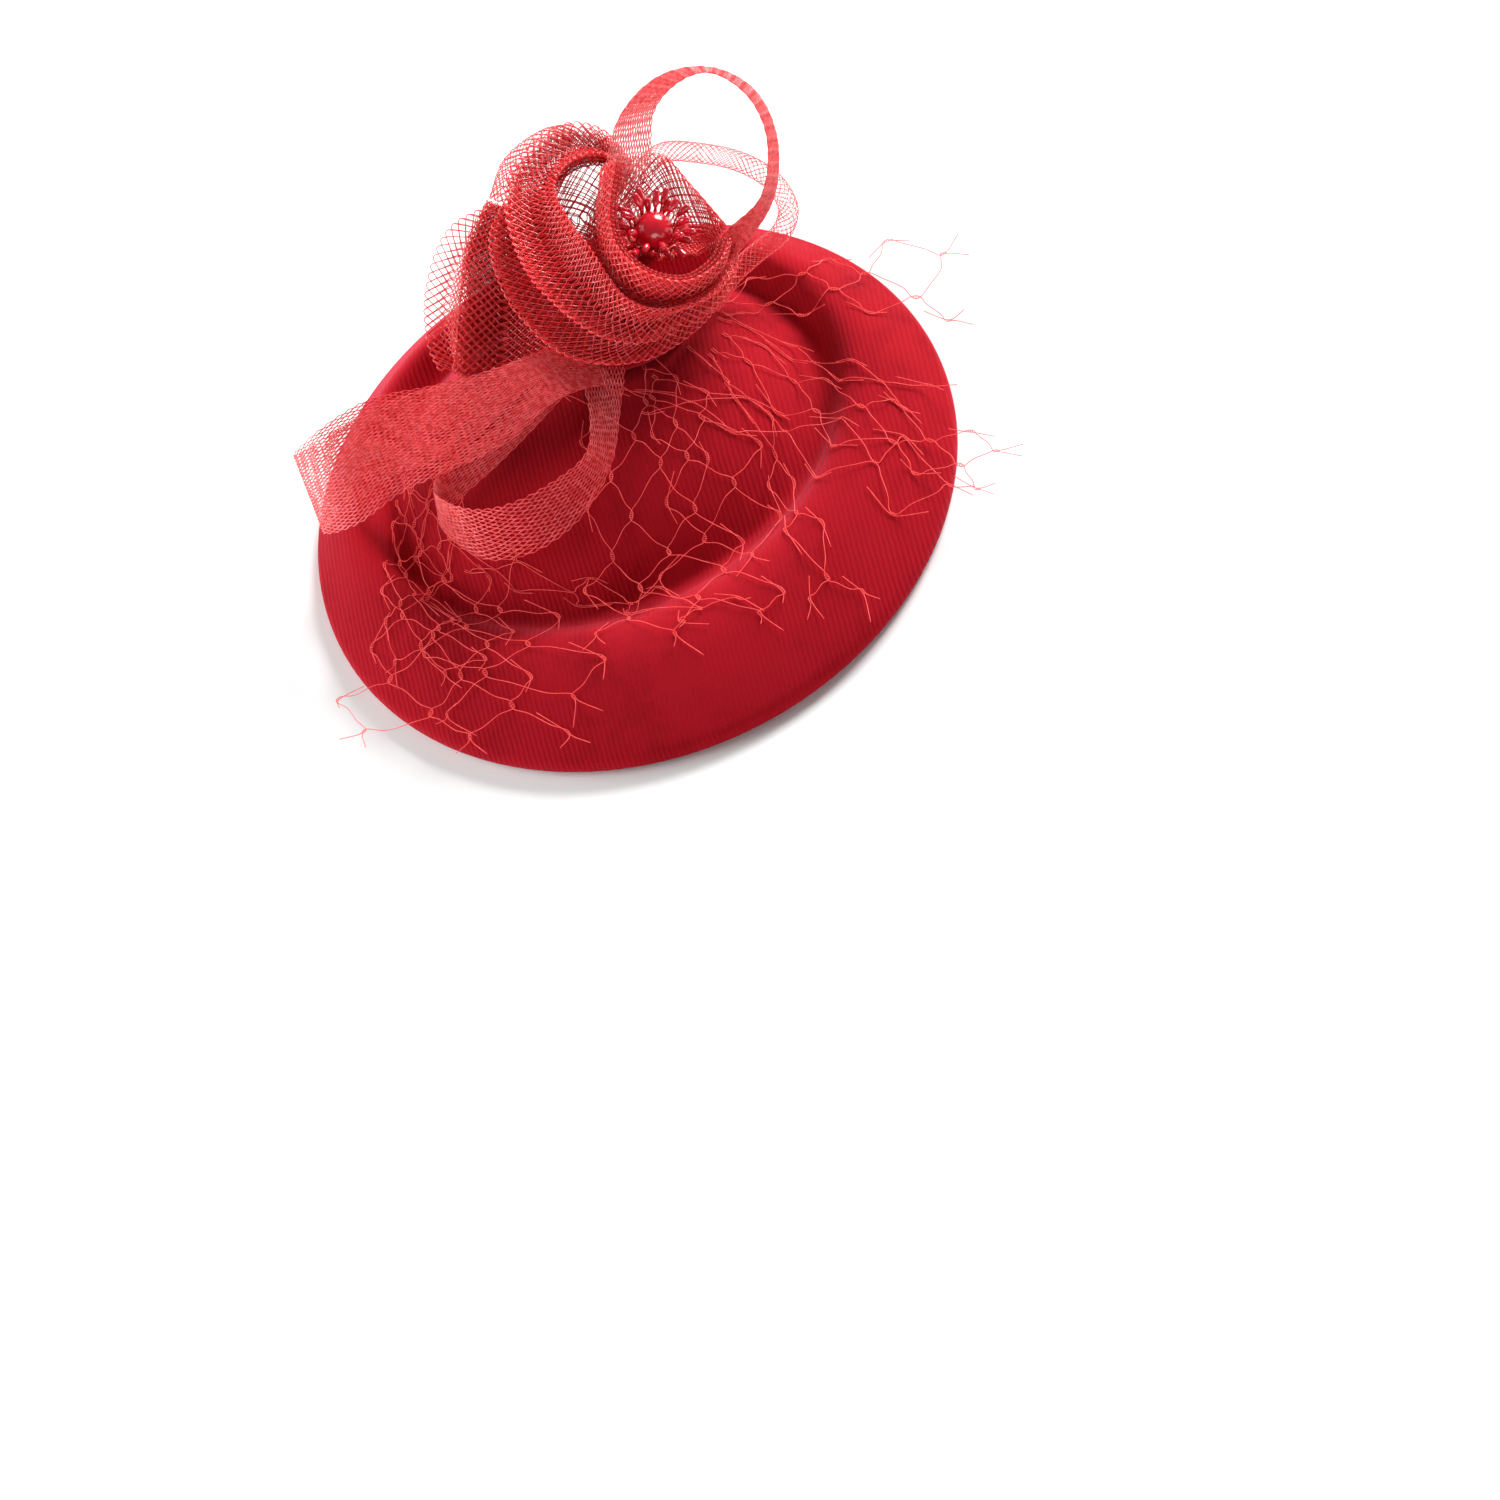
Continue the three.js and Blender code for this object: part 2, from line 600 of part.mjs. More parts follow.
for (const [side, sign] of [["left", -1], ["right", 1]]) {
  const clip = new THREE.Group();
  clip.position.set(CROWN_SET.x + (sign * CLIP_SPACING) / 2, CLIP_PIN_Y, CLIP_TOP);
  part.add(clip);
  add(`clip_${side}_fixed_jaw`, fixedJaw(), steel, clip);
  add(`clip_${side}_moving_jaw`, movingJaw(), steel, clip);
  add(`clip_${side}_pin`, hingePin(), steel, clip);
  add(`clip_${side}_spring`, torsionSpring(), steel, clip);
}

export default part;
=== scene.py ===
"""The looks of a red felt percher fascinator: camera, stage, materials and every visible surface.

Lengths are worked in millimetres, in the CAD's own frame, and turned into metres when a mesh is made.
"""

import math

import bpy
import numpy as np
from mathutils import Matrix, Vector


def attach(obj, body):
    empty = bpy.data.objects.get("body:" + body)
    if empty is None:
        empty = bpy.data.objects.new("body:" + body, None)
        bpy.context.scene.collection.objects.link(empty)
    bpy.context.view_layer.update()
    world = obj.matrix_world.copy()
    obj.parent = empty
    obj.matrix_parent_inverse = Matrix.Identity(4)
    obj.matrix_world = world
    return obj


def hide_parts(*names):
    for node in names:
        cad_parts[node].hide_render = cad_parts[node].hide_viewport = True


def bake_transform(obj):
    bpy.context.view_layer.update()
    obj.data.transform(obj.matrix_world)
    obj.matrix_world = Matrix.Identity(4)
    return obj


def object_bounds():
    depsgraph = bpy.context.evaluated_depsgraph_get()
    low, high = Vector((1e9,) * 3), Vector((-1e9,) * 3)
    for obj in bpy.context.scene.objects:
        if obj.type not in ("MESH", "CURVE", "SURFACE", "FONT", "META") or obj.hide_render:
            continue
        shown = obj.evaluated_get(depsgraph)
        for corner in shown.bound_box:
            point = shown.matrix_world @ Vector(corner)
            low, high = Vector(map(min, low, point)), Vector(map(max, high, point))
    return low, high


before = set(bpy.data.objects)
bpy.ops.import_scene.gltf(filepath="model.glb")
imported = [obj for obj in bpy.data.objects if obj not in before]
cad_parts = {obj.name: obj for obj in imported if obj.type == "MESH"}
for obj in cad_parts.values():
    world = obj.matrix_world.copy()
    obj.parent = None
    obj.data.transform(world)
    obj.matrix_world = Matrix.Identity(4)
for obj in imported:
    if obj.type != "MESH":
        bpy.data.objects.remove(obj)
cad_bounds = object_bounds()

MM = 0.001
HAT = "hat"
CLIP_SIDES = ("left", "right")

# ---- The base's pattern, as the CAD has it -------------------------------------------------------

BRIM_RADIUS = 100.0
GROOVE_RADIUS = 69.0
CROWN_OVAL = 0.903  # the crown's depth from front to back, as a share of its width
CROWN_SET = np.array([-1.5, 15.3])  # its middle
GAP = 0.3  # between pieces that lie on each other
FELT = 1.2  # thickness, as are LINING and DISC
CORE_EDGE_RADIUS = 98.2
HEM_INNER_RADIUS = 91.0
LINING_EDGE_RADIUS = 90.9  # half a millimetre more than the CAD's, to reach under its stitches
HEM_DEPTH = 2.6  # from the top of the felt to the top of the hem and of the lining
LINING = 0.6
# The felt's top, as (radius, height), and how its edge turns under.
TOP_PROFILE = [
    (0, 36), (15, 35.3), (30, 32.4), (45, 26.3), (56, 19), (63, 12.8), (67, 9.6), (69, 8.8),
    (71.5, 9.8), (74, 12.6), (76.5, 15), (79.5, 16), (84, 15.2), (90, 11.8), (95, 8.2), (98.6, 5.4),
]
EDGE_TURN = [(99.5, 4.2), (100, 2.4), (99.8, 0.9), (99.0, 0.1)]

HEART = np.array([19.5, 18.5])  # where the trim is sewn on, in the round pattern
DISC_RADIUS = 21.0
DISC = 1.5
SEAT = 0.9  # from the felt straight up to the disc

UP = np.array([0, 0, 1.0])

BEAD_RADIUS = 5.7
BEAD_CENTRE = np.array([39.0, 37.0, 59.5])
CUP_AXIS = Vector((0.25, -0.35, 0.9)).normalized()


# ---- Meshes --------------------------------------------------------------------------------------


def mesh_piece(name, points, faces, material):
    """A smooth mesh object on the hat, from points in millimetres and a list of arrays of faces."""
    mesh = bpy.data.meshes.new(name)
    sizes = np.concatenate([np.full(len(f), f.shape[1]) for f in faces])
    loops = np.concatenate([f.ravel() for f in faces])
    mesh.vertices.add(len(points))
    mesh.vertices.foreach_set("co", (np.asarray(points, float) * MM).ravel())
    mesh.loops.add(len(loops))
    mesh.loops.foreach_set("vertex_index", loops.astype(np.int32))
    mesh.polygons.add(len(sizes))
    mesh.polygons.foreach_set("loop_start", (np.cumsum(sizes) - sizes).astype(np.int32))
    mesh.update(calc_edges=True)
    mesh.polygons.foreach_set("use_smooth", np.full(len(sizes), True))
    mesh.materials.append(material)
    piece = bpy.data.objects.new(name, mesh)
    bpy.context.collection.objects.link(piece)
    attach(piece, HAT)
    return piece


def unit(v):
    return v / np.maximum(np.linalg.norm(v, axis=-1, keepdims=True), 1e-9)


def tube_mesh(strands, sides=4):
    """Closed tubes along strands, each (points, normals, radius or radii): all points, quads and caps."""
    points, quads, caps = [], [], []
    start = 0
    turn = 2 * math.pi * (np.arange(sides) + 0.5) / sides
    for line, normal, radius in strands:
        count = len(line)
        tangent = unit(np.gradient(line, axis=0))
        up = unit(normal - tangent * np.sum(normal * tangent, axis=1, keepdims=True))
        side = np.cross(tangent, up)
        r = np.broadcast_to(np.asarray(radius, float), (count,))[:, None, None]
        ring = np.cos(turn)[None, :, None] * side[:, None] + np.sin(turn)[None, :, None] * up[:, None]
        points.append((line[:, None] + r * ring).reshape(-1, 3))
        i = start + np.arange(count - 1)[:, None] * sides
        j = np.arange(sides)[None]
        k = (j + 1) % sides
        quads.append(np.stack([i + j, i + k, i + sides + k, i + sides + j], -1).reshape(-1, 4))
        caps.append(start + np.arange(sides)[None, ::-1])
        caps.append(start + (count - 1) * sides + np.arange(sides)[None])
        start += count * sides
    return np.concatenate(points), [np.concatenate(quads), np.concatenate(caps)]


def strand_piece(name, strands, material, sides=4):
    """One mesh object of all the strands, as closed tubes."""
    points, faces = tube_mesh(strands, sides)
    return mesh_piece(name, points, faces, material)


def lathe_mesh(profile, columns, shape=None):
    """A solid turned from a closed profile of (radius, height), then moved point by point by shape."""
    rz = np.asarray(profile, float)
    turn = 2 * math.pi * np.arange(columns) / columns
    x = rz[:, :1] * np.cos(turn)
    y = rz[:, :1] * np.sin(turn)
    points = np.stack([x, y, np.broadcast_to(rz[:, 1:], x.shape)], -1).reshape(-1, 3)
    if shape:
        points = shape(points)
    rows = len(rz)
    i = np.arange(rows - 1)[:, None] * columns
    j = np.arange(columns)[None]
    k = (j + 1) % columns
    quads = np.stack([i + j, i + k, i + columns + k, i + columns + j], -1).reshape(-1, 4)
    return points, [quads, np.arange(columns)[None, ::-1], (rows - 1) * columns + np.arange(columns)[None]]


# ---- Curves --------------------------------------------------------------------------------------


def curve(points, t):
    """A centripetal Catmull-Rom curve through points, at parameters t from 0 to 1."""
    p = np.asarray(points, float)
    p = np.concatenate([[2 * p[0] - p[1]], p, [2 * p[-1] - p[-2]]])
    last = len(points) - 1
    at = np.clip(np.asarray(t, float), 0, 1) * last
    i = np.minimum(at.astype(int), last - 1)
    w = (at - i)[..., None]
    p0, p1, p2, p3 = (p[i + n] for n in range(4))
    d0, d1, d2 = (
        np.sqrt(np.linalg.norm(b - a, axis=-1, keepdims=True)) for a, b in ((p0, p1), (p1, p2), (p2, p3))
    )
    m1 = ((p1 - p0) / d0 - (p2 - p0) / (d0 + d1) + (p2 - p1) / d1) * d1
    m2 = ((p2 - p1) / d1 - (p3 - p1) / (d1 + d2) + (p3 - p2) / d2) * d1
    return p1 + w * (m1 + w * (3 * (p2 - p1) - 2 * m1 - m2 + w * (2 * (p1 - p2) + m1 + m2)))


def even_curve(points, steps):
    """The same curve at even distances along it."""
    fine = curve(points, np.linspace(0, 1, 20 * len(points)))
    run = np.concatenate([[0], np.cumsum(np.linalg.norm(np.diff(fine, axis=0), axis=1))])
    at = np.linspace(0, run[-1], steps)
    return np.stack([np.interp(at, run, fine[:, n]) for n in range(3)], -1)


RIBBON_SAMPLES = 600
NORMAL_REACH = 0.4  # how far along a strip its normal is found from
NORMAL_SHARE = 0.01  # and how far across it, as a share of its width


class Ribbon:
    """A strip between two edge curves, crowned along its middle, by distance s along it and v across."""

    def __init__(self, stations, crown, across=(0.0, 1.0), lift=0.0):
        """The strip, or a layer of it, which takes up a part of its width and is lifted off it."""
        stations = np.asarray(stations, float)
        t = np.linspace(0, 1, RIBBON_SAMPLES)
        a, b = curve(stations[:, 0], t), curve(stations[:, 1], t)
        along = unit(np.gradient(a, axis=0)) + unit(np.gradient(b, axis=0))
        shift = lift * unit(np.cross(along, b - a))
        middle = (a + b) / 2
        self.a = a + across[0] * (b - a) + shift
        self.b = a + across[1] * (b - a) + shift
        self.run = np.concatenate([[0], np.cumsum(np.linalg.norm(np.diff(middle, axis=0), axis=1))])
        self.length = self.run[-1]
        along = unit(np.gradient(self.a, axis=0)) + unit(np.gradient(self.b, axis=0))
        self.swell = unit(np.cross(along, self.b - self.a))
        self.width = float(np.mean(np.linalg.norm(self.b - self.a, axis=1)))
        self.crown = crown

    def read(self, values, s):
        return np.stack([np.interp(s, self.run, values[:, n]) for n in range(3)], -1)

    def surface(self, s, v):
        a, b, swell = (self.read(values, s) for values in (self.a, self.b, self.swell))
        return a + (b - a) * v[..., None] - self.crown * np.sin(np.pi * v)[..., None] * swell

    def place(self, s, v, height):
        """The point at (s, v) moved out by height, and the way out there."""
        ahead = self.surface(np.minimum(s + NORMAL_REACH, self.length), v)
        behind = self.surface(np.maximum(s - NORMAL_REACH, 0), v)
        over = self.surface(s, np.minimum(v + NORMAL_SHARE, 1))
        back = self.surface(s, np.maximum(v - NORMAL_SHARE, 0))
        normal = unit(np.cross(ahead - behind, over - back))
        return self.surface(s, v) + height[..., None] * normal, normal


def braided(ribbon, strands, angle, radius, random):
    """A flat braid: every strand zigzags from edge to edge, over one and under one, not quite evenly."""
    cross = ribbon.width / math.tan(angle)  # run along the ribbon in which a strand crosses it
    steps = int(ribbon.length / (cross / strands))
    m = np.arange(steps + 1)
    s = m * ribbon.length / steps
    out = []
    for k in range(strands):
        phase = (2 * k + m) / strands
        fold = phase % 2
        v = np.where(fold > 1, 2 - fold, fold)
        rising = np.where(fold > 1, -1, 1)
        lift = BRAID_WEAVE * radius * rising * (-1.0) ** m
        uneven = random.normal(0, BRAID_UNEVEN, len(m)) * (m > 0) * (m < steps)
        line, normal = ribbon.place(s + uneven, 0.01 + 0.98 * v, lift)
        out.append((line, normal, radius))
    return out


FOLD = 0.06  # share of a pressed tube's width in which its strands turn over at each edge


def flat_tube(ribbon, strands, cell, radius, puff):
    """A tubular mesh pressed flat: strands spiral both ways round it, over one and under one."""
    steps = 2 * int(ribbon.length / (cell / 2))
    m = np.arange(steps + 1) / 2
    s = m * 2 * ribbon.length / steps
    out = []
    for way in (1, -1):
        for k in range(strands):
            round_it = (k / strands + way * m / (2 * strands)) % 1
            near = round_it < 0.5
            v = np.where(near, 2 * round_it, 2 - 2 * round_it)
            inside = np.minimum(v, 1 - v)
            eased = np.where(inside < FOLD, FOLD / 2 + inside**2 / (2 * FOLD), inside) - FOLD / 2
            v = np.where(v < 0.5, eased, 1 - eased)
            bulge = puff * (1 - np.abs(2 * v - 1) ** 5) ** 0.5
            lift = np.where(near, bulge, -bulge) + radius * way * np.cos(math.pi * m)
            line, normal = ribbon.place(s, v, lift)
            out.append((line, normal, radius))
    return out


def round_tube(route, strands, cell, radius, across):
    """A round tubular mesh along a route."""
    length = float(np.sum(np.linalg.norm(np.diff(route, axis=0), axis=1)))
    steps = int(length / (cell / 2))
    line = even_curve(route, steps + 1)
    tangent = unit(np.gradient(line, axis=0))
    side = unit(np.cross(tangent, [0, 0, 1]))
    up = np.cross(side, tangent)
    m = np.arange(steps + 1)
    out = []
    for way in (1, -1):
        for k in range(strands):
            turn = 2 * np.pi * (k / strands + way * m / (2 * strands))
            normal = np.cos(turn)[:, None] * side + np.sin(turn)[:, None] * up
            lift = across / 2 + radius * way * (-1.0) ** m
            out.append((line + lift[:, None] * normal, normal, radius))
    return out


# ---- Camera, light and stage ---------------------------------------------------------------------

CAMERA_PLACE = (-0.0031, -0.8103, 0.9626)
CAMERA_TILT = math.radians(36.217)  # from straight down
CAMERA_ROLL = math.radians(-26.17)
LENS = 100
SENSOR = 36


def make_camera():
    """The camera, where the hat is seen from."""
    data = bpy.data.cameras.new("camera")
    data.lens = LENS
    data.sensor_width = SENSOR
    camera = bpy.data.objects.new("camera", data)
    turned = Matrix.Rotation(CAMERA_TILT, 4, "X") @ Matrix.Rotation(CAMERA_ROLL, 4, "Z")
    camera.matrix_world = Matrix.Translation(CAMERA_PLACE) @ turned
    bpy.context.collection.objects.link(camera)
    bpy.context.scene.camera = camera


def soft_sun(name, towards, strength, spread):
    """A large far light, from the side that towards points to."""
    data = bpy.data.lights.new(name, "SUN")
    data.energy = strength
    data.angle = math.radians(spread)
    light = bpy.data.objects.new(name, data)
    light.rotation_euler = Vector(towards).to_track_quat("Z", "Y").to_euler()
    bpy.context.collection.objects.link(light)


def make_stage():
    """A white floor, a dim white sky and three soft lights."""
    bpy.context.scene.view_settings.view_transform = "Standard"
    world = bpy.data.worlds.new("studio")
    world.use_nodes = True
    background = world.node_tree.nodes["Background"]
    background.inputs["Color"].default_value = (1, 1, 1, 1)
    background.inputs["Strength"].default_value = 0.18
    bpy.context.scene.world = world
    soft_sun("key", (0.68, 0.58, 0.40), 7.2, 30)
    soft_sun("side", (-0.82, 0.45, 0.30), 4.4, 50)
    soft_sun("front", (-0.2, -0.95, 0.08), 1.8, 50)
    half = 4.0
    mesh = bpy.data.meshes.new("floor")
    corners = [(-half, -half, 0), (half, -half, 0), (half, half, 0), (-half, half, 0)]
    mesh.from_pydata(corners, [], [(0, 1, 2, 3)])
    mesh.materials.append(plain("floor", (0.93, 0.93, 0.93), 0.9))
    floor = bpy.data.objects.new("floor", mesh)
    floor.location.z = cad_bounds[0][2] - 0.0005
    bpy.context.collection.objects.link(floor)


# ---- Materials -----------------------------------------------------------------------------------


def plain(name, colour, roughness):
    """A new material with the same colour and roughness all over."""
    material = bpy.data.materials.new(name)
    material.use_nodes = True
    shader = material.node_tree.nodes["Principled BSDF"]
    shader.inputs["Base Color"].default_value = (*colour, 1)
    shader.inputs["Roughness"].default_value = roughness
    return material


class Nodes:
    """A short way to wire a material's nodes."""

    def __init__(self, material):
        self.tree = material.node_tree
        self.shader = self.tree.nodes["Principled BSDF"]

    def add(self, kind, settings=None, **inputs):
        node = self.tree.nodes.new(kind)
        for key, value in (settings or {}).items():
            setattr(node, key, value)
        for key, value in inputs.items():
            socket = node.inputs[int(key[1:])] if key[0] == "_" else node.inputs[key]
            if isinstance(value, bpy.types.NodeSocket):
                self.tree.links.new(value, socket)
            else:
                socket.default_value = value
        return node

    def link(self, source, socket):
        self.tree.links.new(source, self.shader.inputs[socket])

    def place(self):
        return self.add("ShaderNodeTexCoord").outputs["Object"]

    def noise(self, scale, detail=2.0, roughness=0.5, vector=None):
        vector = vector or self.place()
        node = self.add("ShaderNodeTexNoise", Vector=vector, Scale=scale, Detail=detail, Roughness=roughness)
        return node.outputs["Fac"]

    def ramp(self, factor, stops):
        node = self.add("ShaderNodeValToRGB", Fac=factor)
        elements = node.color_ramp.elements
        while len(elements) < len(stops):
            elements.new(0.5)
        for element, (at, colour) in zip(elements, stops):
            element.position = at
            element.color = (*colour, 1)
        return node.outputs["Color"]

    def sum(self, a, b, share=1.0):
        scaled = self.add("ShaderNodeMath", {"operation": "MULTIPLY"}, _0=b, _1=share).outputs[0]
        return self.add("ShaderNodeMath", {"operation": "ADD"}, _0=a, _1=scaled).outputs[0]

    def bump(self, height, distance, strength=1.0):
        node = self.add("ShaderNodeBump", Height=height, Distance=distance, Strength=strength)
        self.link(node.outputs["Normal"], "Normal")


def cloth_material(name, dark, light, scale, roughness, sheen, sheen_tint, grain, relief):
    """Cloth with a mottled colour, a soft sheen and a fine grain that stands out by its relief."""
    material = plain(name, dark, roughness)
    nodes = Nodes(material)
    nodes.link(nodes.ramp(nodes.noise(scale, 3.0, 0.6), [(0.3, dark), (0.7, light)]), "Base Color")
    nodes.shader.inputs["Sheen Weight"].default_value = sheen
    nodes.shader.inputs["Sheen Roughness"].default_value = 0.45
    nodes.shader.inputs["Sheen Tint"].default_value = (*sheen_tint, 1)
    nodes.shader.inputs["Specular IOR Level"].default_value = 0.2
    nodes.bump(nodes.noise(grain, 2.0, 0.6), relief)
    return material


RIB_PITCH = 1.5 * MM  # of the brushed felt's fine ribs
RIB_TURN = math.radians(-12)  # they run nearly along Y
WAVE_SCALE = 0.1 * math.pi  # a wave texture's scale for a pitch of one metre


def felt_material():
    """Brushed velour felt with fine parallel ribs, a short nap and a pale sheen at grazing angles."""
    material = plain("felt_red", (0.4, 0.005, 0.02), 0.92)
    nodes = Nodes(material)
    place = nodes.place()
    ribs = nodes.add(
        "ShaderNodeTexWave",
        {"wave_type": "BANDS", "bands_direction": "X", "wave_profile": "SIN"},
        Vector=nodes.add("ShaderNodeMapping", Vector=place, Rotation=(0, 0, -RIB_TURN)).outputs["Vector"],
        Scale=WAVE_SCALE / RIB_PITCH,
        Distortion=1.5,
        Detail=2.0,
    ).outputs["Fac"]
    nap = nodes.noise(2600, 3.0, 0.7, place)
    mottle = nodes.noise(45, 4.0, 0.6, place)
    tone = nodes.sum(nodes.sum(mottle, ribs, 0.07), nap, 0.7)
    colour = nodes.ramp(tone, [(0.5, (0.18, 0.001, 0.004)), (0.885, (0.35, 0.005, 0.012))])
    nodes.link(colour, "Base Color")
    nodes.shader.inputs["Sheen Weight"].default_value = 0.22
    nodes.shader.inputs["Sheen Roughness"].default_value = 0.4
    nodes.shader.inputs["Sheen Tint"].default_value = (1.0, 0.3, 0.42, 1)
    nodes.shader.inputs["Specular IOR Level"].default_value = 0.05
    nodes.bump(nodes.sum(ribs, nap, 0.8), 0.18 * MM, 0.6)
    return material


STRAND_SOLID = 0.8  # a clear-dyed strand lets some of the light past


def strand_material(name, light, dark, roughness, coat):
    """Shiny clear-dyed monofilament: the tone wanders a little along the strands."""
    material = plain(name, light, roughness)
    nodes = Nodes(material)
    nodes.link(nodes.ramp(nodes.noise(700, 2.0), [(0.4, dark), (0.6, light)]), "Base Color")
    nodes.shader.inputs["Coat Weight"].default_value = coat
    nodes.shader.inputs["Coat Roughness"].default_value = 0.12
    nodes.shader.inputs["Specular IOR Level"].default_value = 0.5
    nodes.shader.inputs["Alpha"].default_value = STRAND_SOLID
    return material


def gloss_material(name, colour, dark):
    """Lacquered bead: deep colour under a clear coat, with faint ripples."""
    material = plain(name, colour, 0.18)
    nodes = Nodes(material)
    nodes.link(nodes.ramp(nodes.noise(220, 2.0), [(0.3, dark), (0.7, colour)]), "Base Color")
    nodes.shader.inputs["Coat Weight"].default_value = 0.5
    nodes.shader.inputs["Coat Roughness"].default_value = 0.06
    nodes.bump(nodes.noise(500, 1.0), 0.02 * MM, 0.5)
    return material


def steel_material():
    """Nickel-plated steel with a fine lengthwise grain."""
    material = plain("clip_steel", (0.62, 0.62, 0.64), 0.28)
    nodes = Nodes(material)
    nodes.shader.inputs["Metallic"].default_value = 1.0
    stretch = nodes.add("ShaderNodeMapping", Vector=nodes.place(), Scale=(60, 4, 60))
    grain = nodes.noise(60, 3.0, 0.6, stretch.outputs["Vector"])
    nodes.link(nodes.ramp(grain, [(0.3, (0.5, 0.5, 0.52)), (0.7, (0.72, 0.72, 0.74))]), "Base Color")
    nodes.bump(grain, 0.02 * MM, 0.4)
    return material


FELT_RED = felt_material()
CRIN = strand_material("crin_red", (1.0, 0.10, 0.11), (0.95, 0.016, 0.02), 0.3, 0.5)
# the inner layers' crin: the same crin darkened and with less gloss, as painted shade
CRIN_PAINTED_SHADE = strand_material("crin_red_painted_shade", (0.8, 0.006, 0.012), (0.5, 0.003, 0.006), 0.5, 0.1)
BRAID = strand_material("braid_red", (1.0, 0.11, 0.12), (0.8, 0.03, 0.035), 0.3, 0.4)
NET = cloth_material(
    "net_red", (0.9, 0.05, 0.05), (1.0, 0.12, 0.12),
    scale=300, roughness=0.5, sheen=0.2, sheen_tint=(1, 0.5, 0.5), grain=4000, relief=0.02 * MM,
)
THREAD = cloth_material(
    "thread_red", (0.35, 0.005, 0.015), (0.5, 0.01, 0.03),
    scale=900, roughness=0.6, sheen=0.2, sheen_tint=(1, 0.5, 0.5), grain=5000, relief=0.03 * MM,
)
BUCKRAM = cloth_material(
    "buckram_natural", (0.6, 0.52, 0.4), (0.75, 0.68, 0.55),
    scale=800, roughness=0.9, sheen=0.1, sheen_tint=(1, 1, 1), grain=2500, relief=0.08 * MM,
)
SATIN = cloth_material(
    "satin_red", (0.22, 0.004, 0.012), (0.34, 0.008, 0.022),
    scale=60, roughness=0.35, sheen=0.3, sheen_tint=(1, 0.4, 0.45), grain=3000, relief=0.01 * MM,
)
BEAD = gloss_material("bead_red", (0.70, 0.008, 0.026), (0.58, 0.005, 0.016))
STEEL = steel_material()


# ---- The base ------------------------------------------------------------------------------------


def edge_share(radius):
    """How far a radius in the round pattern has come from the crown's valley to the brim's edge, eased."""
    outward = np.clip((radius - GROOVE_RADIUS) / (BRIM_RADIUS - GROOVE_RADIUS), 0, 1)
    return (outward + outward * outward * (3 - 2 * outward)) / 2


def lay(points):
    """The round pattern laid out: oval and set back over the crown, round at the brim's edge."""
    share = edge_share(np.hypot(points[..., 0], points[..., 1]))
    x = points[..., 0] + CROWN_SET[0] * (1 - share)
    y = points[..., 1] * (CROWN_OVAL + (1 - CROWN_OVAL) * share) + CROWN_SET[1] * (1 - share)
    return np.stack([x, y, points[..., 2]], -1)


def smooth_top(steps):
    """The top profile as a smooth curve at even distances, level where it crosses the middle."""
    pairs = [(-r, z) for r, z in TOP_PROFILE[2:0:-1]] + TOP_PROFILE
    fine = curve([(r, z, 0) for r, z in pairs], np.linspace(0, 1, 3000))[:, :2]
    fine = fine[fine[:, 0] >= 0]
    run = np.concatenate([[0], np.cumsum(np.linalg.norm(np.diff(fine, axis=0), axis=1))])
    at = np.linspace(0, run[-1], steps)
    return np.stack([np.interp(at, run, fine[:, n]) for n in range(2)], -1)


TOP = smooth_top(150)
SLOPE = unit(np.gradient(TOP, axis=0))
TOP_END = TOP_PROFILE[-1][0]


def top_height(radius):
    return np.interp(radius, TOP[:, 0], TOP[:, 1])


def under(depth, edge_radius, start_radius=0.0):
    """The top profile moved down its own normals, from start_radius out to edge_radius."""
    moved = TOP + depth * np.stack([SLOPE[:, 1], -SLOPE[:, 0]], -1)
    moved[0, 0] = 0
    moved = moved[np.concatenate([[True], np.diff(np.maximum.accumulate(moved[:, 0])) > 0])]
    slope = (moved[-1, 1] - moved[-6, 1]) / (moved[-1, 0] - moved[-6, 0])
    end = moved[-1] + (edge_radius - moved[-1, 0]) * np.array([1, slope])
    moved = np.concatenate([moved, [end]]) if edge_radius > moved[-1, 0] else moved
    inside = moved[(moved[:, 0] > start_radius) & (moved[:, 0] < edge_radius)]
    ends = [[r, np.interp(r, moved[:, 0], moved[:, 1])] for r in (start_radius, edge_radius)]
    return np.concatenate([[ends[0]], inside, [ends[1]]])


BASE_COLUMNS = 288
PLEATS = 48
PLEAT_DEPTH = 0.5
AXIS_RADIUS = 0.02  # of the small end faces that close a turned solid


def on_axis(profile):
    """The profile with its two ends brought in to the axis."""
    profile = np.array(profile, float)
    profile[0, 0] = profile[-1, 0] = AXIS_RADIUS
    return profile


def make_felt_cover():
    """The felt: blocked over the core, turned under at the brim's edge and hemmed."""
    edge = curve([(*p, 0) for p in [TOP_PROFILE[-1], *EDGE_TURN]], np.linspace(0, 1, 14))[1:, :2]
    inner = under(FELT, CORE_EDGE_RADIUS + GAP)
    hem_top = under(HEM_DEPTH, CORE_EDGE_RADIUS + GAP, HEM_INNER_RADIUS)
    hem_under = under(HEM_DEPTH + FELT, CORE_EDGE_RADIUS, HEM_INNER_RADIUS)
    profile = np.concatenate([inner[::2], hem_top[::-2], hem_under[::2], edge[::-1], TOP[::-1]])
    points, faces = lathe_mesh(on_axis(profile), BASE_COLUMNS, lay)
    piece = mesh_piece("felt_surface", points, faces, FELT_RED)
    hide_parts("felt_cover")


